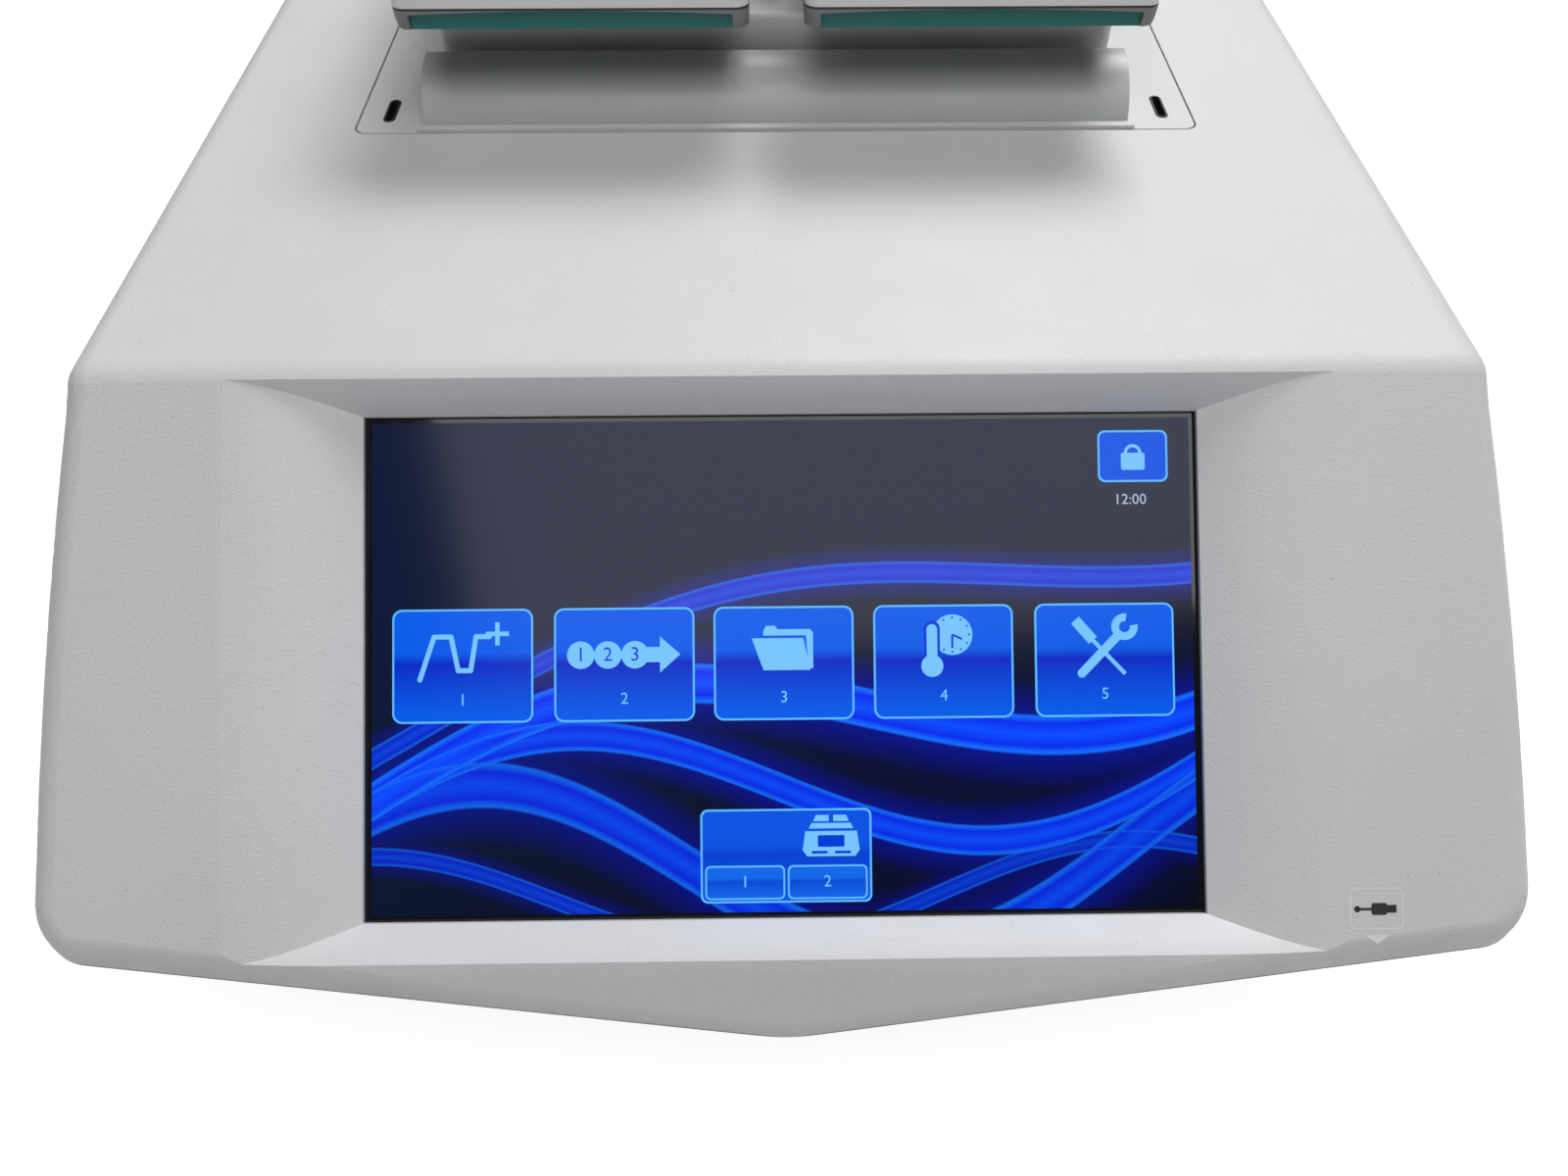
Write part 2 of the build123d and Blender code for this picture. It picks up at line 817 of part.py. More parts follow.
glass_n = -bezel_lip - gasket_thickness
with BuildPart() as touch_glass:
    with BuildSketch(face_plane.offset(glass_n)):
        Rectangle(glass_width, glass_height)
    extrude(amount=-glass_thickness)
finish(touch_glass, "touch_glass")

lcd_n = glass_n - glass_thickness
with BuildPart() as lcd_panel:
    with BuildSketch(face_plane.offset(lcd_n)):
        Rectangle(glass_width - lcd_margin, glass_height - lcd_margin)
    extrude(amount=-lcd_thickness)
    chamfer(lcd_panel.faces().sort_by(Axis(face_plane.origin, face_plane.z_dir))[0].edges(), 1)
finish(lcd_panel, "lcd_panel")

bracket_n = lcd_n - lcd_thickness
with BuildPart() as display_bracket:
    with BuildSketch(face_plane.offset(bracket_n)) as bracket_form:
        Rectangle(2 * (display_boss_x + bracket_margin), 2 * (display_boss_v + bracket_margin))
        fillet(bracket_form.vertices(), bracket_margin)
        with GridLocations(2 * display_boss_x, 2 * display_boss_v, 2, 2):
            Circle(display_boss_hole, mode=Mode.SUBTRACT)
        Rectangle(bracket_lightening, bracket_lightening, mode=Mode.SUBTRACT)
    extrude(amount=-bracket_thickness)
    with BuildSketch(face_plane.offset(bracket_n - bracket_thickness)):
        with GridLocations(
            controller_width - 4 * standoff_radius, controller_height - 4 * standoff_radius, 2, 2
        ):
            Circle(standoff_radius)
    extrude(amount=-standoff_height)
finish(display_bracket, "display_bracket")

controller_n = bracket_n - bracket_thickness - standoff_height
with BuildPart() as controller_board:
    with BuildSketch(face_plane.offset(controller_n)):
        Rectangle(controller_width, controller_height)
    extrude(amount=-board_thickness)
    with BuildSketch(face_plane.offset(controller_n - board_thickness)):
        with GridLocations(controller_width / 3, controller_height / 2.5, 3, 2):
            Rectangle(controller_width / 8, controller_height / 6)
    extrude(amount=-chip_height)
finish(controller_board, "controller_board")

# Bay: folded tub with a sloping flange, a floor with two fan mouths and four legs
bay_front_y = plate_front_y + bay_front_inset
bay_rear_y = plate_rear_y - bay_front_inset
bay_middle_y = (bay_front_y + bay_rear_y) / 2
bay_length = bay_rear_y - bay_front_y


def under_top(depth_below):
    """Everything lower than depth_below under the casing's top surface, as a section."""
    with BuildSketch(Plane.YZ) as section:
        Polygon(
            (-far, top_z(-far, -depth_below)),
            (far, top_z(far, -depth_below)),
            (far, -far),
            (-far, -far),
            align=None,
        )
    return section.sketch


with BuildPart() as flange_under:
    with BuildSketch(Plane.XY):
        with Locations((0, bay_middle_y)):
            Rectangle(4 * bay_half, 2 * bay_length)
            Rectangle(2 * bay_half, bay_length, mode=Mode.SUBTRACT)
    extrude(amount=far)
    extrude(under_top(casing_wall + bay_wall), amount=far, both=True, mode=Mode.INTERSECT)

with BuildPart() as bay_tub:
    with BuildSketch(Plane.XY.offset(bay_floor_z)):
        with Locations((0, bay_middle_y)):
            Rectangle(2 * bay_half, bay_length)
    extrude(amount=far)
    with BuildSketch(Plane.XY.offset(screen_z)):
        with Locations((0, bay_middle_y)):
            Rectangle(2 * (bay_half + bay_flange), bay_length + 2 * bay_flange)
    extrude(amount=far)
    extrude(under_top(casing_wall), amount=far, both=True, mode=Mode.INTERSECT)
    add(flange_under.part, mode=Mode.SUBTRACT)
    with BuildSketch(Plane.XY.offset(bay_floor_z + bay_wall)):
        with Locations((0, bay_middle_y)):
            Rectangle(2 * (bay_half - bay_wall), bay_length - 2 * bay_wall)
    extrude(amount=far, mode=Mode.SUBTRACT)
    with BuildSketch(Plane.XY.offset(bay_floor_z)):
        with Locations((-lid_pitch / 2, block_y), (lid_pitch / 2, block_y)):
            Circle(fan_bore)
    extrude(amount=bay_wall, mode=Mode.SUBTRACT)
    with BuildSketch(Plane.XZ.offset(-bay_rear_y)):
        with Locations((0, louvre_z)):
            with GridLocations(louvre_pitch, 0, louvre_count, 1):
                Rectangle(louvre_width, louvre_height / 2)
    extrude(amount=2 * bay_wall, mode=Mode.SUBTRACT)
    with BuildSketch(Plane.XY.offset(floor_z)):
        with Locations((0, bay_middle_y)):
            with GridLocations(2 * bay_half - leg_size, bay_length - leg_size, 2, 2):
                Rectangle(leg_size, leg_size)
    extrude(amount=bay_floor_z - floor_z)
finish(bay_tub, "bay_tub")

# Fans under the bay floor: a square frame and a rotor each
fan_top_z = bay_floor_z
fan_bottom_z = fan_top_z - fan_depth
for name, side in sides:
    fan_x = side * lid_pitch / 2
    with BuildPart() as fan_frame:
        with BuildSketch(Plane.XY.offset(fan_bottom_z)) as fan_plan:
            with Locations((fan_x, block_y)):
                Rectangle(fan_size, fan_size)
            fillet(fan_plan.vertices(), fan_strut)
            with Locations((fan_x, block_y)):
                Circle(fan_bore, mode=Mode.SUBTRACT)
        extrude(amount=fan_depth)
        with BuildSketch(Plane.XY.offset(fan_bottom_z)):
            with Locations((fan_x, block_y)):
                Circle(fan_hub)
                Rectangle(2 * fan_bore + fan_strut / 2, fan_strut)
                Rectangle(fan_strut, 2 * fan_bore + fan_strut / 2)
        extrude(amount=fan_base)
        with BuildSketch(Plane.XY.offset(fan_bottom_z + fan_base)):
            with Locations((fan_x, block_y)):
                Circle(fan_shaft)
        extrude(amount=fan_depth / 2)
    finish(fan_frame, f"fan_frame_{name}")

    with BuildPart() as fan_rotor:
        with BuildSketch(Plane.XY.offset(fan_bottom_z + fan_base + fan_blade_gap)):
            with Locations((fan_x, block_y)):
                Circle(fan_hub)
        extrude(amount=fan_depth - fan_base - 2 * fan_blade_gap)
        for blade in range(fan_blades):
            turn = 360 / fan_blades * blade
            blade_plane = Plane(
                origin=(fan_x, block_y, fan_bottom_z + (fan_depth + fan_base) / 2),
                x_dir=Vector(0, 1, 0).rotate(Axis.Z, turn),
                z_dir=Vector(1, 0, 0).rotate(Axis.Z, turn),
            ).rotated((0, 0, fan_blade_pitch))
            with BuildSketch(blade_plane.offset(fan_hub / 2)):
                Rectangle(fan_blade_chord, fan_blade_thickness)
            extrude(amount=fan_bore - fan_hub / 2)
        with BuildSketch(Plane.XY.offset(fan_bottom_z)):
            with Locations((fan_x, block_y)):
                Circle(fan_bore - fan_blade_gap)
        extrude(amount=fan_depth, mode=Mode.INTERSECT)
        with BuildSketch(Plane.XY.offset(fan_bottom_z)):
            with Locations((fan_x, block_y)):
                Circle(fan_shaft + pin_running_gap)
        extrude(amount=fan_base + fan_depth / 2 + fan_blade_gap, mode=Mode.SUBTRACT)
    finish(fan_rotor, f"fan_rotor_{name}")

# Power supply: a vented metal box on the hull's floor
with BuildPart() as power_supply:
    with BuildSketch(Plane.XY.offset(floor_z)):
        with Locations((0, supply_y)):
            Rectangle(supply_width, supply_length)
    extrude(amount=supply_height)
    with BuildSketch(Plane.XY.offset(floor_z + supply_height)):
        with Locations((0, supply_y)):
            with GridLocations(louvre_pitch, 0, supply_slots, 1):
                SlotOverall(supply_length / 2, louvre_width, rotation=90)
    extrude(amount=-bay_wall, mode=Mode.SUBTRACT)
finish(power_supply, "power_supply")

# Main board on four standoffs
with BuildPart() as main_board:
    with BuildSketch(Plane.XY.offset(floor_z)):
        with Locations((0, mainboard_y)):
            with GridLocations(
                mainboard_width - 4 * standoff_radius, mainboard_length - 4 * standoff_radius, 2, 2
            ):
                Circle(standoff_radius)
    extrude(amount=standoff_height)
    with BuildSketch(Plane.XY.offset(floor_z + standoff_height)):
        with Locations((0, mainboard_y)):
            Rectangle(mainboard_width, mainboard_length)
    extrude(amount=board_thickness)
    with BuildSketch(Plane.XY.offset(floor_z + standoff_height + board_thickness)):
        with Locations((0, mainboard_y)):
            with GridLocations(mainboard_width / 4, mainboard_length / 2.5, 3, 2):
                Rectangle(mainboard_width / 8, mainboard_length / 6)
    extrude(amount=transformer_height)
finish(main_board, "main_board")

# Rear panel: louvred plate with cut-outs for the power inlet, the switch and the data ports
switch_z = inlet_z + switch_rise


def rear_plane(inward):
    """Plane on the rear panel's outer face, moved inward, looking out of the back."""
    return Plane(origin=(0, panel_y + panel_thickness - inward, 0), x_dir=(-1, 0, 0), z_dir=(0, 1, 0))


panel_top_z = top_z(panel_y, -casing_wall) - casing_gap
panel_half = top_half - casing_wall - casing_gap
with BuildPart() as rear_panel:
    with BuildSketch(rear_plane(0)) as panel_form:
        with Locations((0, (panel_bottom_z + panel_top_z) / 2)):
            Rectangle(2 * panel_half, panel_top_z - panel_bottom_z)
        fillet(panel_form.vertices(), panel_corner)
        with Locations((0, louvre_z)):
            with GridLocations(louvre_pitch, 0, louvre_count, 1):
                SlotOverall(louvre_height, louvre_width, rotation=90, mode=Mode.SUBTRACT)
        with Locations((-inlet_x, inlet_z)):
            Rectangle(inlet_width, inlet_height, mode=Mode.SUBTRACT)
        with Locations((-inlet_x, switch_z)):
            Rectangle(switch_width + 2 * inlet_wall, switch_height + 2 * inlet_wall, mode=Mode.SUBTRACT)
        with Locations((-io_x, io_z)):
            Rectangle(io_width, io_height, mode=Mode.SUBTRACT)
    extrude(amount=-panel_thickness)
finish(rear_panel, "rear_panel")

# Power inlet: flange, shrouded socket with three blades, and the switch's frame above it
with BuildPart() as power_inlet:
    with BuildSketch(rear_plane(0)) as inlet_plan:
        with Locations((-inlet_x, (inlet_z + switch_z) / 2)):
            Rectangle(
                inlet_width + 2 * inlet_flange,
                inlet_height / 2 + switch_height / 2 + switch_rise + 2 * inlet_flange,
            )
        fillet(inlet_plan.vertices(), inlet_flange / 2)
    extrude(amount=inlet_flange_thickness)
    with BuildSketch(rear_plane(0)):
        with Locations((-inlet_x, inlet_z)):
            Rectangle(inlet_width, inlet_height)
        with Locations((-inlet_x, switch_z)):
            Rectangle(switch_width + 2 * inlet_wall, switch_height + 2 * inlet_wall)
    extrude(amount=-inlet_depth)
    with BuildSketch(rear_plane(-inlet_flange_thickness)):
        with Locations((-inlet_x, inlet_z)):
            Rectangle(inlet_width - 2 * inlet_wall, inlet_height - 2 * inlet_wall)
    extrude(amount=-inlet_socket_depth - inlet_flange_thickness, mode=Mode.SUBTRACT)
    with BuildSketch(rear_plane(inlet_socket_depth)):
        with Locations((-inlet_x, inlet_z)):
            with Locations((-blade_pitch, -inlet_wall), (0, inlet_wall), (blade_pitch, -inlet_wall)):
                Rectangle(blade_width, blade_height)
    extrude(amount=inlet_socket_depth - inlet_wall)
    with BuildSketch(rear_plane(-inlet_flange_thickness)):
        with Locations((-inlet_x, switch_z)):
            Rectangle(switch_width, switch_height)
    extrude(amount=-inlet_depth, mode=Mode.SUBTRACT)
    switch_axis_y = panel_y + panel_thickness - switch_inset
    with BuildSketch(Plane.YZ.offset(inlet_x)):
        with Locations((switch_axis_y, switch_z)):
            Circle(switch_pin_radius)
    extrude(amount=switch_width / 2, both=True)
finish(power_inlet, "power_inlet")

# Power switch: a rocker on the frame's cross pin
with BuildPart() as power_switch:
    rocker_half = switch_height / 2 - switch_gap
    with BuildSketch(Plane.YZ.offset(inlet_x)):
        with BuildLine():
            outer_y = panel_y + panel_thickness + inlet_flange_thickness
            Polyline(
                (switch_axis_y - rocker_depth, switch_z - rocker_half + rocker_relief),
                (switch_axis_y - rocker_depth, switch_z + rocker_half - rocker_relief),
                (switch_axis_y, switch_z + rocker_half),
                (outer_y - rocker_relief, switch_z + rocker_half - rocker_relief / 2),
                (outer_y - rocker_relief / 2, switch_z),
                (outer_y + rocker_proud, switch_z - rocker_half + rocker_relief),
                (switch_axis_y, switch_z - rocker_half),
                close=True,
            )
        make_face()
        with Locations((switch_axis_y, switch_z)):
            Circle(switch_pin_radius + pin_running_gap, mode=Mode.SUBTRACT)
    extrude(amount=switch_width / 2 - switch_gap, both=True)
finish(power_switch, "power_switch")

# Data ports at the rear: one network socket and two data sockets in a shell
with BuildPart() as rear_data_ports:
    with BuildSketch(rear_plane(0)):
        with Locations((-io_x, io_z)):
            Rectangle(io_width, io_height)
    extrude(amount=-io_depth)
    with BuildSketch(rear_plane(0)):
        with Locations((-io_x, io_z)):
            with Locations((network_offset, 0)):
                Rectangle(network_width, network_height)
            with Locations((data_offset, 0)):
                with GridLocations(data_pitch, 0, 2, 1):
                    Rectangle(port_width, port_height)
    extrude(amount=-socket_depth, mode=Mode.SUBTRACT)
finish(rear_data_ports, "rear_data_ports")

# Dock connector on the bay's floor
with BuildPart() as dock_connector:
    with BuildSketch(Plane.XY.offset(bay_floor_z + bay_wall)):
        with Locations((0, dock_y)):
            Rectangle(dock_width, dock_length)
            Rectangle(dock_width - 2 * dock_wall, dock_length - 2 * dock_wall, mode=Mode.SUBTRACT)
    extrude(amount=dock_height)
    with BuildSketch(Plane.XY.offset(bay_floor_z + bay_wall)):
        with Locations((0, dock_y)):
            Rectangle(dock_width, dock_length)
    extrude(amount=dock_wall)
finish(dock_connector, "dock_connector")

# Module cover: sloping plate, raised deck over the blocks and a rib between the lids
deck_middle_y = (deck_front_y + deck_rear_y) / 2
with BuildPart() as module_cover:
    with BuildSketch(Plane.YZ):
        Polygon(
            (plate_front_y, top_z(plate_front_y)),
            (plate_rear_y, top_z(plate_rear_y)),
            (plate_rear_y, top_z(plate_rear_y, -plate_thickness)),
            (plate_front_y, top_z(plate_front_y, -plate_thickness)),
            align=None,
        )
    extrude(amount=plate_half, both=True)
    fillet(module_cover.edges().filter_by(Axis.Z), plate_corner)
    with BuildSketch(Plane.XY.offset(deck_skirt_z)) as deck_form:
        with Locations((0, deck_middle_y)):
            Rectangle(2 * deck_half, deck_length)
        fillet(deck_form.vertices(), plate_corner)
    extrude(amount=deck_z - deck_skirt_z)
    fillet(module_cover.faces().sort_by(Axis.Z)[-1].edges(), deck_edge)
    with BuildSketch(Plane.XY.offset(deck_z)):
        with Locations((0, (pivot_y + hinge_y) / 2 - deck_wall)):
            Rectangle(rib_width, hinge_y - pivot_y + 2 * deck_wall)
    extrude(amount=rib_height)
    fillet(module_cover.faces().sort_by(Axis.Z)[-1].edges().filter_by(Axis.Y), rib_width / 3)
    with BuildSketch(Plane.YZ):
        Polygon(
            top_point(plate_front_s, -plate_thickness / 2),
            top_point(plate_front_s, bead_height),
            top_point(plate_front_s + bead_depth, bead_height),
            top_point(plate_front_s + bead_depth, -plate_thickness / 2),
            align=None,
        )
    extrude(amount=bead_half, both=True)
    with BuildSketch(Plane.XY.offset(deck_z - deck_wall)):
        with Locations((0, deck_middle_y)):
            Rectangle(2 * (deck_half - deck_wall), deck_length - 2 * deck_wall)
    extrude(amount=-deck_z, mode=Mode.SUBTRACT)
    with BuildSketch(Plane.XY.offset(deck_z - 2 * deck_wall)):
        with Locations((-lid_pitch / 2, block_y), (lid_pitch / 2, block_y)):
            Rectangle(
                block_width + 2 * (frame_rim + frame_gap),
                block_length + 2 * (frame_rim + frame_gap),
            )
        with Locations((-lid_pitch / 2, hook_slot_y), (lid_pitch / 2, hook_slot_y)):
            Rectangle(2 * hook_slot_half, hook_slot_length)
    extrude(amount=deck_z, mode=Mode.SUBTRACT)
    with BuildSketch(Plane.XY.offset(screen_z)):
        slot_y = top_point(slot_s, 0)[0]
        with Locations((-slot_x, slot_y), (slot_x, slot_y)):
            SlotOverall(slot_length, slot_width, rotation=90)
    extrude(amount=far, mode=Mode.SUBTRACT)
    lug_y, lug_z = top_point(bar_pivot_s, bar_pivot_h)
    for name, side in sides:
        lug_x = side * (bar_half - bar_wall - bar_lug_gap - bar_lug_width / 2)
        with BuildSketch(Plane.YZ.offset(lug_x)):
            with Locations((lug_y, lug_z)):
                Circle(bar_lug_radius)
            Polygon(
                (lug_y - bar_lug_radius, lug_z),
                (lug_y + bar_lug_radius, lug_z),
                (lug_y + bar_lug_radius, top_z(lug_y, -plate_thickness / 2)),
                (lug_y - bar_lug_radius, top_z(lug_y, -plate_thickness / 2)),
                align=None,
            )
        extrude(amount=bar_lug_width / 2, both=True)
    with BuildSketch(Plane.YZ):
        with Locations((lug_y, lug_z)):
            Circle(bar_pin_radius)
    extrude(amount=bar_half, both=True, mode=Mode.SUBTRACT)
finish(module_cover, "module_cover")

# Locking bar: a hollow half-round bar on two stub pins at its ends
bar_front = top_point(bar_front_s, bar_foot)
bar_top = top_point(bar_top_s, bar_height)
chord = Vector(bar_top[0] - bar_front[0], bar_top[1] - bar_front[1])
bulge = Vector(-chord.Y, chord.X).normalized() * bar_bulge
bar_mid = (
    (bar_front[0] + bar_top[0]) / 2 + bulge.X,
    (bar_front[1] + bar_top[1]) / 2 + bulge.Y,
)
with BuildPart() as locking_bar:
    with BuildSketch(Plane.YZ):
        with BuildLine():
            ThreePointArc(bar_front, bar_mid, bar_top)
            Polyline(
                bar_top,
                top_point(bar_rear_s, bar_height - bar_wall / 2),
                top_point(bar_rear_s, bar_height - 2 * bar_wall),
                top_point(bar_pivot_s - bar_lug_radius, bar_foot),
                bar_front,
            )
        make_face()
    extrude(amount=bar_half, both=True)
    with BuildSketch(Plane.YZ):
        with BuildLine():
            inner = Vector(bar_front) + Vector(bar_wall, -bar_wall)
            crown_point = Vector(bar_top) - Vector(bar_wall / 2, bar_wall)
            middle = Vector(bar_mid) + Vector(bar_wall / 2, -bar_wall)
            ThreePointArc(inner, middle, crown_point)
            Polyline(
                crown_point,
                top_point(bar_rear_s + bar_wall, bar_height - 1.5 * bar_wall),
                top_point(bar_rear_s + bar_wall, -bar_wall),
                inner,
            )
        make_face()
    extrude(amount=bar_half - bar_wall, both=True, mode=Mode.SUBTRACT)
    with BuildSketch(Plane.YZ):
        with Locations((lug_y, lug_z)):
            Circle(bar_pin_radius + pin_running_gap)
    extrude(amount=bar_half - lever_pin_inset, both=True, mode=Mode.SUBTRACT)
finish(locking_bar, "locking_bar")

with BuildPart() as bar_pins:
    for name, side in sides:
        pin_start = side * (bar_half - bar_wall - bar_lug_gap - bar_lug_width)
        with BuildSketch(Plane.YZ.offset(pin_start)):
            with Locations((lug_y, lug_z)):
                Circle(bar_pin_radius)
        extrude(amount=side * (bar_wall + bar_lug_gap + bar_lug_width - 2 * lever_pin_inset))
finish(bar_pins, "locking_bar_pins")

# Module tray: a folded shell with a shelf that carries the heat sinks
tray_half = bay_half - bay_wall - tray_gap
tray_front_y = bay_front_y + bay_wall + tray_gap
tray_rear_y = bay_rear_y - bay_wall - tray_gap
tray_middle_y = (tray_front_y + tray_rear_y) / 2
tray_length = tray_rear_y - tray_front_y
with BuildPart() as module_tray:
    with BuildSketch(Plane.XY.offset(tray_bottom_z)):
        with Locations((0, tray_middle_y)):
            Rectangle(2 * tray_half, tray_length)
            Rectangle(2 * (tray_half - tray_wall), tray_length - 2 * tray_wall, mode=Mode.SUBTRACT)
    extrude(amount=far)
    with BuildSketch(Plane.XY.offset(shelf_z)):
        with Locations((0, tray_middle_y)):
            Rectangle(2 * tray_half - tray_wall, tray_length - tray_wall)
        with Locations((-lid_pitch / 2, block_y), (lid_pitch / 2, block_y)):
            Rectangle(
                (fin_count - 1) * fin_pitch + fin_thickness + 2 * fin_opening_gap,
                fin_length + 2 * fin_opening_gap,
                mode=Mode.SUBTRACT,
            )
    extrude(amount=shelf_thickness)
    extrude(under_top(plate_thickness), amount=far, both=True, mode=Mode.INTERSECT)
    with BuildSketch(Plane.XZ.offset(-tray_rear_y)):
        with Locations((0, louvre_z)):
            with GridLocations(louvre_pitch, 0, louvre_count, 1):
                Rectangle(louvre_width, louvre_height / 2)
    extrude(amount=2 * tray_wall, mode=Mode.SUBTRACT)
    with BuildSketch(Plane.XY.offset(tray_bottom_z)):
        with Locations((0, tray_rear_y - tray_wall - dock_wall)):
            Rectangle(dock_width, 2 * dock_wall)
    extrude(amount=dock_height)
finish(module_tray, "module_tray")

# Connector that hangs from the tray into the dock
plug_length = dock_length - 2 * dock_wall - 2 * dock_gap
with BuildPart() as module_connector:
    with BuildSketch(Plane.XY.offset(bay_floor_z + bay_wall + dock_wall + dock_gap)):
        with Locations((0, dock_y)):
            Rectangle(dock_width - 2 * dock_wall - 2 * dock_gap, plug_length)
    extrude(amount=tray_bottom_z - bay_floor_z - bay_wall - dock_wall - dock_gap)
    with BuildSketch(Plane.XY.offset(tray_bottom_z - dock_wall)):
        Polygon(
            (-dock_width / 2, dock_y - plug_length / 2),
            (dock_width / 2, dock_y - plug_length / 2),
            (dock_width / 2, tray_rear_y - tray_wall),
            (-dock_width / 2, tray_rear_y - tray_wall),
            align=None,
        )
    extrude(amount=dock_wall)
finish(module_connector, "module_connector")

# Shared outlines of the two lids
lid_low = pivot_z - lid_bottom_z
lever_low = pivot_z - lever_clear_z
heel_run = (lever_low - lid_low * cos(radians(lever_throw))) / sin(radians(lever_throw))
ring_front_y = block_y - heater_length / 2 - ring_gap_y
stud_pitch_x = heater_width - 2 * stud_inset_x
stud_pitch_y = heater_length - 2 * stud_inset_y


def cover_profile(lid_x, inset):
    """Side view of a lid's rear cover, drawn in by inset."""
    roof_z = cover_top_z - inset
    back_y, back_z = lid_rear_y - inset, cover_rear_top_z - inset
    with BuildSketch(Plane.YZ.offset(lid_x)) as profile:
        Polygon(
            (pivot_y, lid_bottom_z),
            (pivot_y, roof_z),
            (block_y, roof_z),
            (back_y, back_z),
            (back_y, lid_bottom_z),
            align=None,
        )
        fillet(nearest(profile.vertices(), block_y, roof_z), cover_knee_radius)
        fillet(nearest(profile.vertices(), back_y, back_z), cover_rear_radius - inset)
    return profile.sketch


def lever_profile(lid_x, inset):
    """Side view of a lever, drawn in by inset: nose, brow, drum, and a heel that clears the deck."""
    drum = drum_radius - inset
    top_y, top_inset_z = pivot_y, pivot_z + drum
    nose_y = lever_front_y + inset
    heel_angle = asin(lever_low / drum_radius) - radians(lever_throw)
    heel = (pivot_y + drum * cos(heel_angle), pivot_z - drum * sin(heel_angle))
    with BuildSketch(Plane.YZ.offset(lid_x)) as profile:
        with BuildLine():
            TangentArc((nose_y, lever_nose_z), (nose_y + lever_nose_tuck, lid_bottom_z), tangent=(0, -1))
            Bezier(
                (nose_y, lever_nose_z),
                (nose_y, lever_nose_z + lever_brow_rise),
                (top_y - lever_brow_run, top_inset_z),
                (top_y, top_inset_z),
            )
            RadiusArc((top_y, top_inset_z), heel, drum)
            Polyline(
                heel,
                (pivot_y + heel_run - inset, lid_bottom_z),
                (nose_y + lever_nose_tuck, lid_bottom_z),
            )
        make_face()
    return profile.sketch


def grip_outline(lid_x, gap):
    """Front view of the notch under a lever's lip: flat sides and a slightly arched top."""
    half = lid_half - grip_inset - gap
    low_z, side_z = lid_bottom_z, lid_bottom_z + grip_height - gap
    with BuildSketch(Plane.XZ.offset(-lever_front_y - grip_depth)) as outline:
        with BuildLine():
            Polyline(
                (lid_x - half, side_z),
                (lid_x - half, low_z),
                (lid_x + half, low_z),
                (lid_x + half, side_z),
            )
            ThreePointArc((lid_x - half, side_z), (lid_x, side_z + grip_crown), (lid_x + half, side_z))
        make_face()
    return outline.sketch


ear_middle = barrel_half + hinge_ear_gap + hinge_ear_width / 2
bracket_half = ear_middle + hinge_ear_width
cover_rear_half = bracket_half + cover_rear_gap
cover_post_x = frame_half - cover_post_side

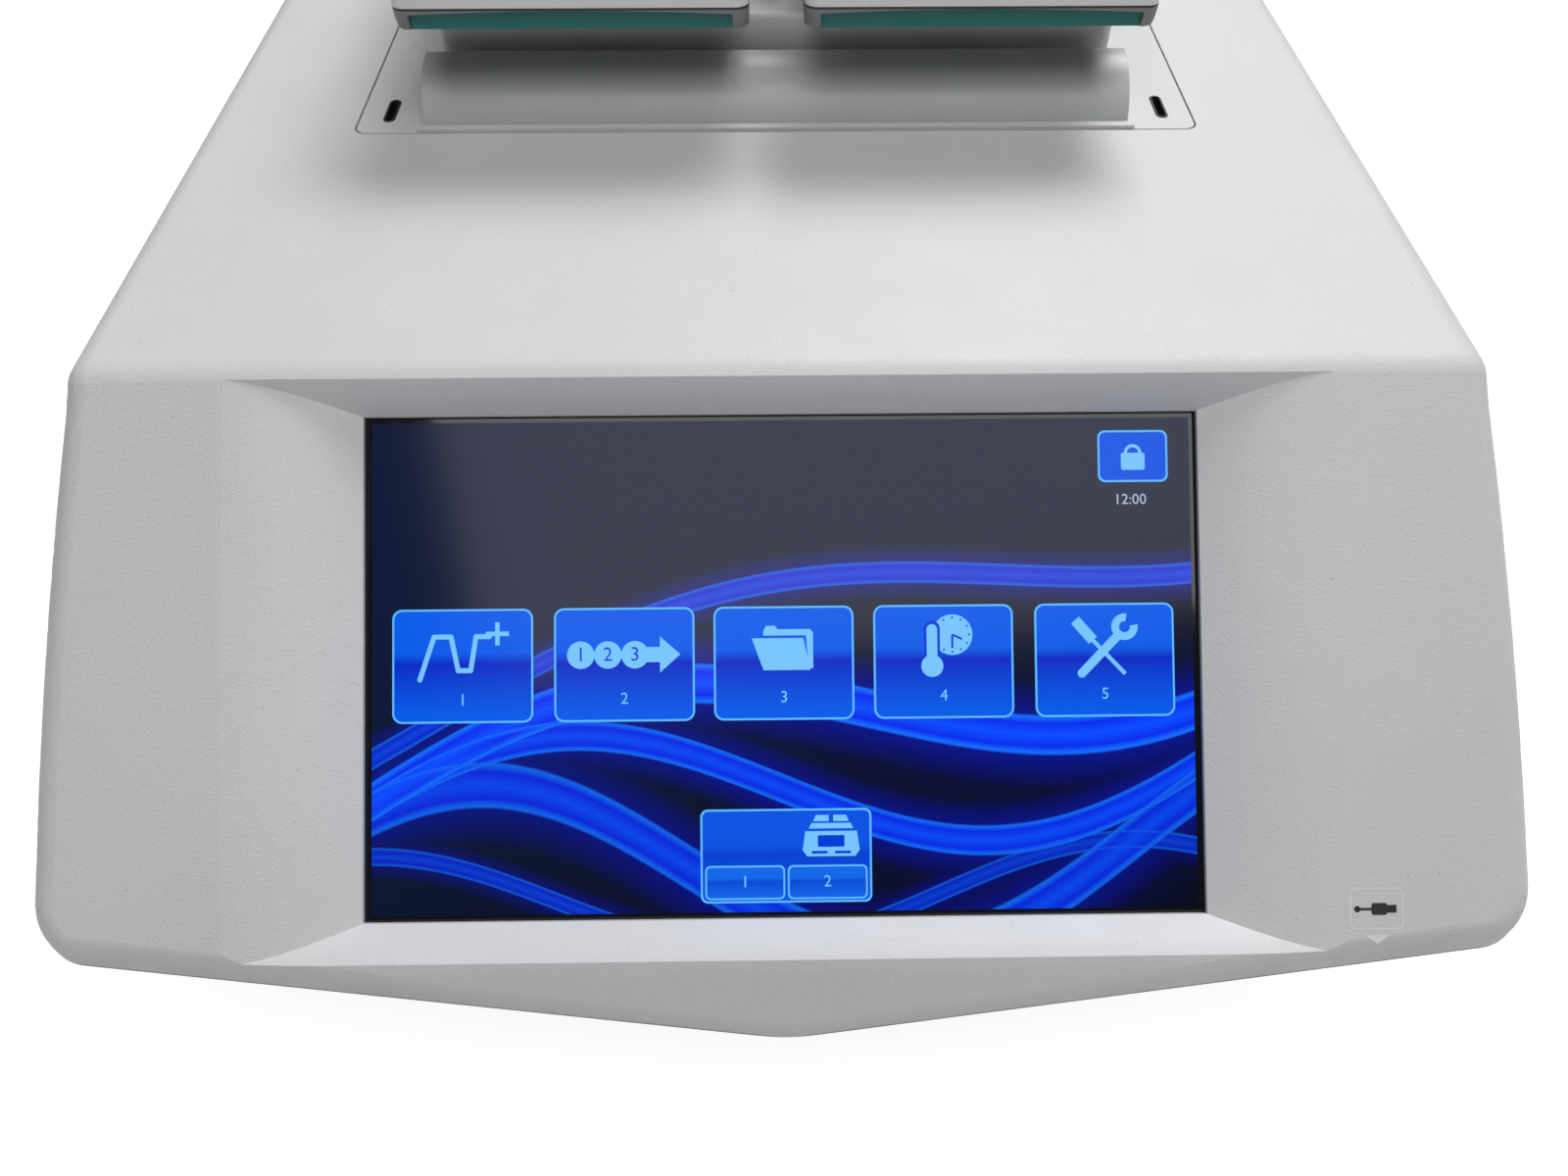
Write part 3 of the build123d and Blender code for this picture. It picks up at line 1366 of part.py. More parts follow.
# What each block needs: well block, frame, pump, heat sink, keeper and hinge bracket
for name, side in sides:
    lid_x = side * lid_pitch / 2
    with BuildPart() as sample_block:
        with BuildSketch(Plane.XY.offset(block_bottom_z)) as block_form:
            with Locations((lid_x, block_y)):
                Rectangle(block_width, block_length)
            fillet(block_form.vertices(), plate_corner)
        extrude(amount=block_height)
        with BuildSketch(Plane.XY.offset(block_top_z)):
            with Locations((lid_x, block_y)):
                with GridLocations(well_pitch, well_pitch, well_columns, well_rows):
                    Circle(well_radius)
        extrude(amount=-well_depth, taper=well_taper, mode=Mode.SUBTRACT)
    finish(sample_block, f"sample_block_{name}")

    with BuildPart() as block_frame:
        with BuildSketch(Plane.XY.offset(deck_z)):
            with Locations((lid_x, block_y)):
                Rectangle(
                    block_width + 2 * (frame_rim + frame_lip),
                    block_length + 2 * (frame_rim + frame_lip),
                )
        extrude(amount=frame_lip)
        chamfer(block_frame.faces().sort_by(Axis.Z)[-1].edges(), frame_lip / 2)
        with BuildSketch(Plane.XY.offset(deck_z)):
            with Locations((lid_x, block_y)):
                Rectangle(block_width + 2 * frame_rim, block_length + 2 * frame_rim)
        extrude(amount=-frame_drop)
        with BuildSketch(Plane.XY.offset(deck_z - frame_drop)):
            with Locations((lid_x, block_y)):
                Rectangle(block_width + 2 * frame_gap, block_length + 2 * frame_gap)
        extrude(amount=frame_drop + frame_lip, mode=Mode.SUBTRACT)
    finish(block_frame, f"block_frame_{name}")

    with BuildPart() as heat_pump:
        with BuildSketch(Plane.XY.offset(peltier_bottom_z)):
            with Locations((lid_x, block_y)):
                Rectangle(block_width - 2 * peltier_inset, block_length - 2 * peltier_inset)
        extrude(amount=peltier_thickness)
    finish(heat_pump, f"heat_pump_{name}")

    with BuildPart() as heat_sink:
        with BuildSketch(Plane.XY.offset(sink_bottom_z)):
            with Locations((lid_x, block_y)):
                Rectangle(sink_width, sink_length)
        extrude(amount=sink_base)
        with BuildSketch(Plane.XY.offset(sink_bottom_z)):
            with Locations((lid_x, block_y)):
                with GridLocations(fin_pitch, 0, fin_count, 1):
                    Rectangle(fin_thickness, fin_length)
        extrude(amount=-fin_drop)
    finish(heat_sink, f"heat_sink_{name}")

    with BuildPart() as keeper:
        with BuildSketch(Plane.XY.offset(deck_z - deck_wall)):
            with Locations((lid_x, keeper_front_y + keeper_depth / 2)):
                Rectangle(2 * keeper_half, keeper_depth)
        extrude(amount=-keeper_drop)
    finish(keeper, f"latch_keeper_{name}")

    with BuildPart() as hinge_bracket:
        with BuildSketch(Plane.XY.offset(deck_z)):
            with Locations((lid_x, hinge_y)):
                Rectangle(2 * bracket_half, 2 * hinge_base_half_y)
        extrude(amount=hinge_base)
        for ear_x in (lid_x - ear_middle, lid_x + ear_middle):
            with BuildSketch(Plane.YZ.offset(ear_x)):
                with Locations((hinge_y, hinge_z)):
                    Circle(hinge_ear_radius)
                Polygon(
                    (hinge_y - hinge_ear_radius, hinge_z),
                    (hinge_y + hinge_ear_heel, hinge_z),
                    (hinge_y + hinge_ear_heel, deck_z),
                    (hinge_y - hinge_ear_radius, deck_z),
                    align=None,
                )
            extrude(amount=hinge_ear_width / 2, both=True)
        with BuildSketch(Plane.YZ.offset(lid_x)):
            with Locations((hinge_y, hinge_z)):
                Circle(hinge_pin_radius)
        extrude(amount=2 * ear_middle, both=True, mode=Mode.SUBTRACT)
    finish(hinge_bracket, f"hinge_bracket_{name}")

    # Lid: frame with its pressure tower, cover, pins
    with BuildPart() as hinge_pin:
        with BuildSketch(Plane.YZ.offset(lid_x)):
            with Locations((hinge_y, hinge_z)):
                Circle(hinge_pin_radius)
        extrude(amount=ear_middle + hinge_ear_width / 2, both=True)
    finish(hinge_pin, f"lid_hinge_pin_{name}")

    with BuildPart() as lid_frame:
        with BuildSketch(Plane.XY.offset(slab_bottom_z)):
            with Locations((lid_x, (ring_front_y - ring_front + hinge_y) / 2)):
                Rectangle(2 * frame_half, hinge_y - ring_front_y + ring_front)
        extrude(amount=slab_thickness)
        with BuildSketch(Plane.XY.offset(lid_bottom_z)):
            with Locations((lid_x, block_y)):
                Rectangle(2 * frame_half, heater_length + 2 * (ring_gap_y + ring_front))
                Rectangle(2 * ring_half, heater_length + 2 * ring_gap_y, mode=Mode.SUBTRACT)
        extrude(amount=slab_bottom_z - lid_bottom_z)
        with BuildSketch(Plane.YZ.offset(lid_x)):
            with Locations((hinge_y, hinge_z)):
                Circle(barrel_radius)
            Polygon(
                (hinge_y - barrel_radius, hinge_z),
                (hinge_y + barrel_radius, hinge_z),
                (hinge_y, slab_top_z),
                (hinge_y - 2 * barrel_radius, slab_top_z),
                (hinge_y - 2 * barrel_radius, slab_bottom_z),
                align=None,
            )
        extrude(amount=barrel_half, both=True)
        with BuildSketch(Plane.YZ.offset(lid_x)):
            with Locations((hinge_y, hinge_z)):
                Circle(hinge_pin_radius + pin_running_gap)
        extrude(amount=frame_half, both=True, mode=Mode.SUBTRACT)
        for end, ear_side in sides:
            ear_plane = Plane.YZ.offset(lid_x + ear_side * ring_half)
            ear_height = 2 * frame_ear_radius
            with BuildSketch(ear_plane):
                with Locations((pivot_y, pivot_z)):
                    Circle(frame_ear_radius)
                with Locations(((pivot_y + ring_front_y) / 2, pivot_z)):
                    Rectangle(ring_front_y - pivot_y, ear_height)
            extrude(amount=ear_side * (frame_half - ring_half))
            with BuildSketch(ear_plane):
                with Locations((pivot_y, pivot_z)):
                    Circle(lever_pin_radius)
            extrude(amount=ear_side * (frame_half - ring_half), mode=Mode.SUBTRACT)
        tower_bore = boss_radius + tower_gap
        with BuildSketch(Plane.XY.offset(slab_top_z)):
            with Locations((lid_x, block_y)):
                Circle(tower_bore + tower_wall)
        extrude(amount=tower_top_z - slab_top_z)
        with BuildSketch(Plane.XY.offset(slab_bottom_z)):
            with Locations((lid_x, block_y)):
                Circle(tower_bore)
        extrude(amount=tower_top_z - tower_cap - slab_bottom_z, mode=Mode.SUBTRACT)
        with BuildSketch(Plane.XY.offset(slab_bottom_z)):
            with Locations((lid_x, block_y)):
                Circle(screw_radius + pin_running_gap)
                with GridLocations(stud_pitch_x, stud_pitch_y, 2, 2):
                    Circle(stud_radius + pin_running_gap)
        extrude(amount=far, mode=Mode.SUBTRACT)
    finish(lid_frame, f"lid_frame_{name}")

    with BuildPart() as lever_pins:
        for end, pin_side in sides:
            with BuildSketch(Plane.YZ.offset(lid_x + pin_side * (ring_half + lever_pin_inset))):
                with Locations((pivot_y, pivot_z)):
                    Circle(lever_pin_radius)
            extrude(amount=pin_side * (lid_half - ring_half - 2 * lever_pin_inset))
    finish(lever_pins, f"lever_pins_{name}")

    with BuildPart() as lid_cover:
        extrude(cover_profile(lid_x, 0), amount=lid_half, both=True)
        flanks = lid_cover.faces().filter_by(Axis.X)
        above_rim = [e for e in flanks.edges() if e.center().Z > lid_bottom_z + 1]
        crown = [e for e in above_rim if e.center().Y > pivot_y + 1]
        fillet(crown, lid_edge)
        with BuildSketch(Plane.YZ.offset(lid_x)):
            with Locations((pivot_y, pivot_z)):
                Circle(drum_radius + drum_gap)
        extrude(amount=lid_half, both=True, mode=Mode.SUBTRACT)
        extrude(cover_profile(lid_x, lid_wall), amount=lid_half - lid_wall, both=True, mode=Mode.SUBTRACT)
        with BuildSketch(Plane.XY.offset(slab_top_z)):
            with Locations((lid_x, (cover_post_front_y + cover_post_rear_y) / 2)):
                with GridLocations(2 * cover_post_x, cover_post_rear_y - cover_post_front_y, 2, 2):
                    Circle(cover_post_radius)
        extrude(until=Until.NEXT)
        with BuildSketch(Plane.XY.offset(slab_top_z)):
            with Locations((lid_x, block_y)):
                Circle(wheel_radius + wheel_hole_gap)
        extrude(amount=far, mode=Mode.SUBTRACT)
        with BuildSketch(Plane.XY.offset(hinge_z + cover_rear_rise)):
            with Locations((lid_x, lid_rear_y)):
                Rectangle(2 * cover_rear_half, 4 * barrel_radius)
        extrude(amount=-far, mode=Mode.SUBTRACT)
    finish(lid_cover, f"lid_cover_{name}")

    # Heated plate, its screw and thumbwheel
    with BuildPart() as heater_plate:
        with BuildSketch(Plane.XY.offset(heater_rest_z)) as heater_form:
            with Locations((lid_x, block_y)):
                Rectangle(heater_width, heater_length)
            fillet(heater_form.vertices(), plate_corner)
        extrude(amount=heater_thickness)
        with BuildSketch(Plane.XY.offset(heater_top_z)):
            with Locations((lid_x, block_y)):
                Circle(boss_radius)
        extrude(amount=boss_height)
        with BuildSketch(Plane.XY.offset(heater_top_z)):
            with Locations((lid_x, block_y)):
                with GridLocations(stud_pitch_x, stud_pitch_y, 2, 2):
                    Circle(stud_radius)
        extrude(amount=stud_height)
        with BuildSketch(Plane.XY.offset(heater_top_z - screw_pocket)):
            with Locations((lid_x, block_y)):
                Circle(screw_radius + pin_running_gap)
        extrude(amount=far, mode=Mode.SUBTRACT)
    finish(heater_plate, f"heater_plate_{name}")

    with BuildPart() as thumbwheel:
        with BuildSketch(Plane.XY.offset(wheel_bottom_z)):
            with Locations((lid_x, block_y)):
                Circle(wheel_radius)
                with PolarLocations(wheel_radius + knurl_radius / 2, knurl_count):
                    Circle(knurl_radius, mode=Mode.SUBTRACT)
        extrude(amount=wheel_height)
        with BuildSketch(Plane.XY.offset(wheel_bottom_z + wheel_height)):
            with Locations((lid_x, block_y)):
                Circle(wheel_dish_radius)
        extrude(amount=-wheel_dish_depth, mode=Mode.SUBTRACT)
        with BuildSketch(Plane.XY.offset(wheel_bottom_z)):
            with Locations((lid_x, block_y)):
                Circle(screw_radius)
        extrude(amount=heater_top_z - screw_dip - wheel_bottom_z)
    finish(thumbwheel, f"thumbwheel_{name}")

    # Lever: front shell with a drum at its pivot, a grip under its lip and the latch tongue
    with BuildPart() as lid_lever:
        extrude(lever_profile(lid_x, 0), amount=lid_half, both=True)
        flanks = lid_lever.faces().filter_by(Axis.X)
        drum_front_y = pivot_y - drum_radius
        fillet(
            [e for e in flanks.edges() if e.center().Z > lever_nose_z or e.center().Y < drum_front_y],
            lid_edge,
        )
        extrude(lever_profile(lid_x, lid_wall), amount=lid_half - lid_wall, both=True, mode=Mode.SUBTRACT)
        with BuildSketch(Plane.XY):
            with Locations((lid_x, pivot_y + lid_wall + drum_radius)):
                Rectangle(2 * (lid_half - lid_wall), 2 * drum_radius)
        extrude(amount=pivot_z + drum_radius * cos(radians(drum_cover_angle)), mode=Mode.SUBTRACT)
        extrude(grip_outline(lid_x, 0), amount=2 * grip_depth, mode=Mode.SUBTRACT)
        with BuildSketch(Plane.YZ.offset(lid_x)):
            with Locations((pivot_y, pivot_z)):
                Circle(lever_pin_radius + pin_running_gap)
        extrude(amount=lid_half, both=True, mode=Mode.SUBTRACT)
        with BuildSketch(Plane.XY.offset(lever_rib_z)):
            with Locations((lid_x, lever_rib_y)):
                Rectangle(2 * lid_half - lid_wall, lever_rib_depth)
        extrude(amount=cover_top_z - lid_wall / 2 - lever_rib_z)
    finish(lid_lever, f"lid_lever_{name}")

    with BuildPart() as lever_grip:
        extrude(grip_outline(lid_x, pin_running_gap), amount=grip_depth - grip_recess)
    finish(lever_grip, f"lever_grip_{name}")

    with BuildPart() as latch_hook:
        hook_rear_y = keeper_front_y - keeper_gap
        rib_rear_y = lever_rib_y + lever_rib_depth / 2
        with BuildSketch(Plane.YZ.offset(lid_x)):
            Polygon(
                (rib_rear_y - hook_thickness, lever_rib_z),
                (rib_rear_y, lever_rib_z),
                (rib_rear_y, pivot_z),
                (hook_rear_y, hook_knee_z),
                (hook_rear_y, hook_bottom_z),
                (hook_rear_y - hook_thickness, hook_bottom_z),
                (hook_rear_y - hook_thickness, hook_knee_z),
                (rib_rear_y - hook_thickness, pivot_z),
                align=None,
            )
        extrude(amount=hook_width / 2, both=True)
    finish(latch_hook, f"latch_hook_{name}")
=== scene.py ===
"""Looks of a bench thermal cycler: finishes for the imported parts, the lit screen, small trim, light and camera."""

import json
from math import cos, pi, radians, sin

import bmesh
import bpy
from mathutils import Matrix, Vector


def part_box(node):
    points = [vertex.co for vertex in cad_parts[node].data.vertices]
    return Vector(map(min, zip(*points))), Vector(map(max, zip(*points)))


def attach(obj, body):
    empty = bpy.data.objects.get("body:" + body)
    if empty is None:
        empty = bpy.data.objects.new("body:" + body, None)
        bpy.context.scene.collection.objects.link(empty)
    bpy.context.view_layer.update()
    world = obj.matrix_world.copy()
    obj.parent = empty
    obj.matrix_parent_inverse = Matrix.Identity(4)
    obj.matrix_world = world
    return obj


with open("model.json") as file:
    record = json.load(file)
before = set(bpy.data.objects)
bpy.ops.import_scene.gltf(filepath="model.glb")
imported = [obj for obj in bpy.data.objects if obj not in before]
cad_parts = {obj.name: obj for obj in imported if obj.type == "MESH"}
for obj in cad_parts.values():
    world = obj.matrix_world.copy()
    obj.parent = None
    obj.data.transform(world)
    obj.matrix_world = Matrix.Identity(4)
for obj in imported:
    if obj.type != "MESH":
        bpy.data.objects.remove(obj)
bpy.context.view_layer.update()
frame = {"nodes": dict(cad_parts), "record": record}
nodes = frame["nodes"]
SIDES = ("left", "right")

# The screen's own frame: origin at its middle, u to the right, v up the slope, n out of it
FACE_ANGLE = radians(42.0)
SCREEN_MIDDLE = Vector((0.0, -0.167955, 0.117022))
FACE_U = Vector((1, 0, 0))
FACE_V = Vector((0, cos(FACE_ANGLE), sin(FACE_ANGLE)))
FACE_N = Vector((0, -sin(FACE_ANGLE), cos(FACE_ANGLE)))
GLASS_TOP = -0.0016
FACE_RISE = 0.007

# Camera, fitted to the screen's corners
CAMERA_LENS = 26.01
CAMERA_TURN = (radians(-1.75), radians(0.55), radians(0.55))
CAMERA_OFFSET = Vector((0.0, -0.0172, -0.2539))


def face_point(u, v, n=0.0):
    """World place of a point given in the screen's frame."""
    return SCREEN_MIDDLE + u * FACE_U + v * FACE_V + n * FACE_N


def srgb(red, green, blue):
    """Linear colour of 0 to 255 display values."""
    def linear(value):
        value /= 255
        return value / 12.92 if value <= 0.04045 else ((value + 0.055) / 1.055) ** 2.4
    return (linear(red), linear(green), linear(blue), 1.0)


# Materials

def new_material(name):
    """An empty node material and its tree."""
    material = bpy.data.materials.new(name)
    material.use_nodes = True
    tree = material.node_tree
    tree.nodes.clear()
    return material, tree


def add_node(tree, kind, **values):
    """A node with its properties and input values set."""
    node = tree.nodes.new(kind)
    for key, value in values.items():
        if key in node.inputs:
            node.inputs[key].default_value = value
        else:
            setattr(node, key, value)
    return node


def principled(tree, **values):
    """A Principled shader wired to the output."""
    shader = add_node(tree, "ShaderNodeBsdfPrincipled")
    for key, value in values.items():
        shader.inputs[key.replace("_", " ").capitalize() if key != "ior" else "IOR"].default_value = value
    output = add_node(tree, "ShaderNodeOutputMaterial")
    tree.links.new(shader.outputs["BSDF"], output.inputs["Surface"])
    return shader


def object_coordinates(tree):
    """Coordinates in metres, fixed to the piece."""
    return add_node(tree, "ShaderNodeTexCoord").outputs["Object"]


def noise(tree, scale, detail=2.0, roughness=0.5):
    """Noise over the piece; scale is in waves per metre."""
    node = add_node(tree, "ShaderNodeTexNoise", Scale=scale, Detail=detail, Roughness=roughness)
    tree.links.new(object_coordinates(tree), node.inputs["Vector"])
    return node.outputs["Fac"]


def ramp(tree, source, stops):
    """Colours along a factor; stops are (place, colour)."""
    node = add_node(tree, "ShaderNodeValToRGB")
    elements = node.color_ramp.elements
    while len(elements) < len(stops):
        elements.new(0.5)
    for element, (place, colour) in zip(elements, stops):
        element.position = place
        element.color = colour
    tree.links.new(source, node.inputs["Fac"])
    return node.outputs["Color"]


def bump(tree, shader, height, strength, distance):
    """Bump on a shader's normal."""
    node = add_node(tree, "ShaderNodeBump", Strength=strength, Distance=distance)
    tree.links.new(height, node.inputs["Height"])
    tree.links.new(node.outputs["Normal"], shader.inputs["Normal"])
    return node


def scaled(colour, factor):
    """A colour made lighter or darker."""
    return tuple(channel * factor for channel in colour[:3]) + (1.0,)


def below_line(tree, height, slope=0.0):
    """1 under a line on the piece at this height, which climbs by slope away from the middle."""
    split = add_node(tree, "ShaderNodeSeparateXYZ")
    tree.links.new(object_coordinates(tree), split.inputs[0])
    climb = maths(tree, "MULTIPLY_ADD", maths(tree, "ABSOLUTE", split.outputs["X"]), slope, height)
    return maths(tree, "LESS_THAN", split.outputs["Z"], climb)


def painted_over(tree, under, paint, mask):
    """One colour laid over another where the mask is 1."""
    mix = add_node(tree, "ShaderNodeMix", data_type="RGBA")
    tree.links.new(mask, mix.inputs[0])
    tree.links.new(under, mix.inputs[6])
    mix.inputs[7].default_value = paint
    return mix.outputs[2]


def moulded_plastic(name, colour, grain=2600.0, grain_depth=0.00006, roughness=0.5, bands=(), variation=0.03):
    """Spark-eroded plastic: leathery grain, faint mottling, specks and a touch of wear in its gloss.

    Bands are (height, slope, colour) of painted shade laid below a line on the piece, from the highest down.
    """
    material, tree = new_material(name)
    shader = principled(tree, roughness=roughness)
    shader.inputs["IOR"].default_value = 1.48
    tint = ramp(
        tree,
        noise(tree, 9.0, 4.0, 0.6),
        [(0.3, scaled(colour, 1 - variation)), (0.7, scaled(colour, 1 + variation))],
    )
    specks = maths(tree, "GREATER_THAN", noise(tree, grain * 0.5, 1.0), 0.79)
    tint = painted_over(tree, tint, scaled(colour, 0.8), specks)
    # Painted shade: darker colour below lines on the piece
    for height, slope, paint in bands:
        tint = painted_over(tree, tint, paint, below_line(tree, height, slope))
    tree.links.new(tint, shader.inputs["Base Color"])
    gloss = ramp(
        tree,
        noise(tree, 40.0, 5.0, 0.65),
        [(0.35, (roughness - 0.05,) * 3 + (1,)), (0.65, (roughness + 0.06,) * 3 + (1,))],
    )
    tree.links.new(gloss, shader.inputs["Roughness"])
    bump(tree, shader, noise(tree, grain, 2.0, 0.6), 0.6, grain_depth)
    return material


def maths(tree, operation, first, second=None, third=None):
    """A Math node over sockets or numbers."""
    node = add_node(tree, "ShaderNodeMath", operation=operation)
    for index, value in enumerate((first, second, third)):
        if isinstance(value, (int, float)):
            node.inputs[index].default_value = value
        elif value is not None:
            tree.links.new(value, node.inputs[index])
    return node.outputs[0]


def metal(name, colour, roughness=0.35, brushed=(1.0, 1.0, 1.0), grain=900.0):
    """Metal with a brushed or cast grain; brushed stretches the grain along an axis."""
    material, tree = new_material(name)
    shader = principled(tree, metallic=1.0, roughness=roughness)
    mapping = add_node(tree, "ShaderNodeMapping", Scale=brushed)
    tree.links.new(object_coordinates(tree), mapping.inputs["Vector"])
    grain_node = add_node(tree, "ShaderNodeTexNoise", Scale=grain, Detail=3.0)
    tree.links.new(mapping.outputs["Vector"], grain_node.inputs["Vector"])
    tint = ramp(
        tree,
        grain_node.outputs["Fac"],
        [(0.25, scaled(colour, 0.9)), (0.75, scaled(colour, 1.05))],
    )
    tree.links.new(tint, shader.inputs["Base Color"])
    bump(tree, shader, grain_node.outputs["Fac"], 0.25, 0.00003)
    return material


def dark_gloss(name, colour):
    """Dark glass over a display: smooth, with faint smears in its gloss."""
    material, tree = new_material(name)
    shader = principled(tree, roughness=0.08)
    shader.inputs["Base Color"].default_value = colour
    smear = ramp(tree, noise(tree, 30.0, 6.0, 0.7), [(0.4, (0.05,) * 3 + (1,)), (0.75, (0.16,) * 3 + (1,))])
    tree.links.new(smear, shader.inputs["Roughness"])
    return material


def rubber(name):
    """Soft dark rubber with a dusty grain."""
    material, tree = new_material(name)
    shader = principled(tree, roughness=0.8)
    dust = ramp(tree, noise(tree, 300.0, 4.0), [(0.3, srgb(28, 28, 29)), (0.8, srgb(46, 46, 47))])
    tree.links.new(dust, shader.inputs["Base Color"])
    bump(tree, shader, noise(tree, 1800.0), 0.3, 0.00005)
    return material


WHITE = srgb(218, 219, 220)
# Painted shade: a darker band along the casing's lowest edge under its lip, and on each lever's foot a dark line for
# the shade in a groove above a grey band for the shade on the down-facing rounding
LIP_PAINTED_SHADE = (0.0638, 0.081, srgb(120, 121, 124))
LID_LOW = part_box("lid_lever_left")[0][2]
# Painted shade on each lever's foot: a dark line for a groove's shade over a grey band for the shaded rounding
LEVER_PAINTED_SHADE = ((LID_LOW + 0.0054, 0.0, srgb(46, 47, 49)), (LID_LOW + 0.0048, 0.0, srgb(128, 130, 132)))
finishes = {
    "casing": moulded_plastic("casing_plastic", WHITE, 1500.0, 0.00016, 0.5, (LIP_PAINTED_SHADE,)),
    "hull": moulded_plastic("hull_plastic", srgb(150, 152, 155), roughness=0.55),
    "lid_shell": moulded_plastic("lid_plastic", srgb(232, 232, 230), 1300.0, 0.0002),
    "module_plate": moulded_plastic("plate_plastic", WHITE, grain=3200.0, roughness=0.42),
    "bar": moulded_plastic("bar_plastic", srgb(196, 198, 200), roughness=0.35),
    "grip": moulded_plastic("grip_plastic", srgb(8, 110, 104), roughness=0.4),
    "thumbwheel": moulded_plastic("wheel_plastic", srgb(150, 152, 155)),
    "dark_plastic": moulded_plastic("dark_plastic", srgb(38, 38, 40)),
    "port_metal": metal("port_metal", srgb(190, 190, 192), 0.3),
    "screen_glass": dark_gloss("screen_glass", srgb(6, 8, 18)),
    "display": dark_gloss("display", srgb(10, 12, 24)),
    "rubber": rubber("rubber"),
    "sheet_steel": metal("zinc_sheet", srgb(176, 178, 180), 0.4, grain=120.0),
    "rear_sheet": moulded_plastic("rear_powder_coat", srgb(176, 178, 180), grain=1800.0, grain_depth=0.00012),
    "supply_case": metal("supply_case", srgb(186, 187, 188), 0.4),
    "circuit": moulded_plastic("solder_mask", srgb(16, 92, 54), roughness=0.3),
    "aluminium": metal("aluminium", srgb(205, 206, 208), 0.32, brushed=(1.0, 12.0, 12.0)),
    "ceramic": moulded_plastic("ceramic", srgb(228, 228, 222), roughness=0.6),
    "steel": metal("steel", srgb(180, 181, 183), 0.3),
}
LEVER = moulded_plastic("lever_plastic", srgb(232, 232, 230), 1300.0, 0.0002, 0.5, LEVER_PAINTED_SHADE)
# The bay tub gets a dark colour as painted shade, so the plate's slots look dark inside
TUB_PAINTED_SHADE = moulded_plastic("tub_painted_shade", srgb(44, 45, 47))
own_finishes = {"lid_lever_left": LEVER, "lid_lever_right": LEVER, "bay_tub": TUB_PAINTED_SHADE}
slot_of = {entry["node"]: entry["material_slot"] for entry in frame["record"]["subparts"]}
for name, node in nodes.items():
    finish = own_finishes.get(name, finishes[slot_of[name]])
    for index in range(max(1, len(node.data.materials))):
        if node.data.materials:
            node.data.materials[index] = finish
        else:
            node.data.materials.append(finish)


# Lit screen: a picture on the glass, then tiles, panels and pictograms in thin layers over it

# Step between the screen's thin layers, in metres
LAYER = 0.00006


def mesh_object(name, vertices, faces, material, body="chassis"):
    """A new mesh piece that rides on a body."""
    mesh = bpy.data.meshes.new(name)
    mesh.from_pydata(vertices, [], faces)
    mesh.materials.append(material)
    piece = bpy.data.objects.new(name, mesh)
    bpy.context.collection.objects.link(piece)
    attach(piece, body)
    return piece


def shapes_at(name, outlines, height, material):
    """Flat shapes at a height over the screen's plane; each outline is a loop of (u, v) in millimetres."""
    vertices = []
    faces = []
    for outline in outlines:
        start = len(vertices)
        vertices += [face_point(u / 1000, v / 1000, height) for u, v in outline]
        faces.append(tuple(range(start, len(vertices))))
    piece = mesh_object(name, vertices, faces, material)
    form = bmesh.new()
    form.from_mesh(piece.data)
    bmesh.ops.triangulate(form, faces=[face for face in form.faces if len(face.verts) > 4])
    form.to_mesh(piece.data)
    form.free()
    return piece


def flat_piece(name, outlines, layer, material):
    """Flat shapes in a layer over the glass."""
    return shapes_at(name, outlines, GLASS_TOP + layer * LAYER, material)


def arc(u, v, radius, start, end, steps=12):
    """Points along an arc; angles in degrees."""
    turns = [radians(start + (end - start) * step / steps) for step in range(steps + 1)]
    return [(u + radius * cos(turn), v + radius * sin(turn)) for turn in turns]


def disc(u, v, radius):
    """A full circle."""
    return arc(u, v, radius, 0, 345, 23)


def ring(u, v, outer, inner, start=0, end=360):
    """A band between two arcs."""
    return arc(u, v, outer, start, end, 32) + arc(u, v, inner, end, start, 32)


def rounded(u, v, width, height, radius):
    """A rectangle with round corners, about its middle."""
    right, top = width / 2 - radius, height / 2 - radius
    return (
        arc(u + right, v + top, radius, 0, 90, 6)
        + arc(u - right, v + top, radius, 90, 180, 6)
        + arc(u - right, v - top, radius, 180, 270, 6)
        + arc(u + right, v - top, radius, 270, 360, 6)
    )


def stroke(start, end, width):
    """A straight bar between two points."""
    along = Vector((end[0] - start[0], end[1] - start[1])).normalized() * width / 2
    side = Vector((-along.y, along.x))
    corners = ((start, side), (start, -side), (end, -side), (end, side))
    return [(point[0] + offset.x, point[1] + offset.y) for point, offset in corners]


def moved(outline, u, v):
    """An outline shifted by (u, v)."""
    return [(point[0] + u, point[1] + v) for point in outline]


def lit(name, colour, strength=1.0, shade=None):
    """Glowing display colour, with a vertical shade from a lighter top to a darker foot."""
    material, tree = new_material(name)
    shader = principled(tree, roughness=0.2)
    shader.inputs["Base Color"].default_value = (0.0, 0.0, 0.0, 1)
    shader.inputs["Specular IOR Level"].default_value = 0.12
    shader.inputs["Emission Strength"].default_value = strength
    if shade is None:
        shader.inputs["Emission Color"].default_value = colour
        return material
    low, high, dark = shade
    split = add_node(tree, "ShaderNodeSeparateXYZ")
    tree.links.new(object_coordinates(tree), split.inputs[0])
    reach = add_node(tree, "ShaderNodeMapRange")
    reach.inputs["From Min"].default_value = face_point(0, low).z
    reach.inputs["From Max"].default_value = face_point(0, high).z
    tree.links.new(split.outputs["Z"], reach.inputs["Value"])
    glow = ramp(tree, reach.outputs["Result"], [(0.0, colour), (0.45, dark), (0.55, colour), (1.0, colour)])
    tree.links.new(glow, shader.inputs["Emission Color"])
    return material


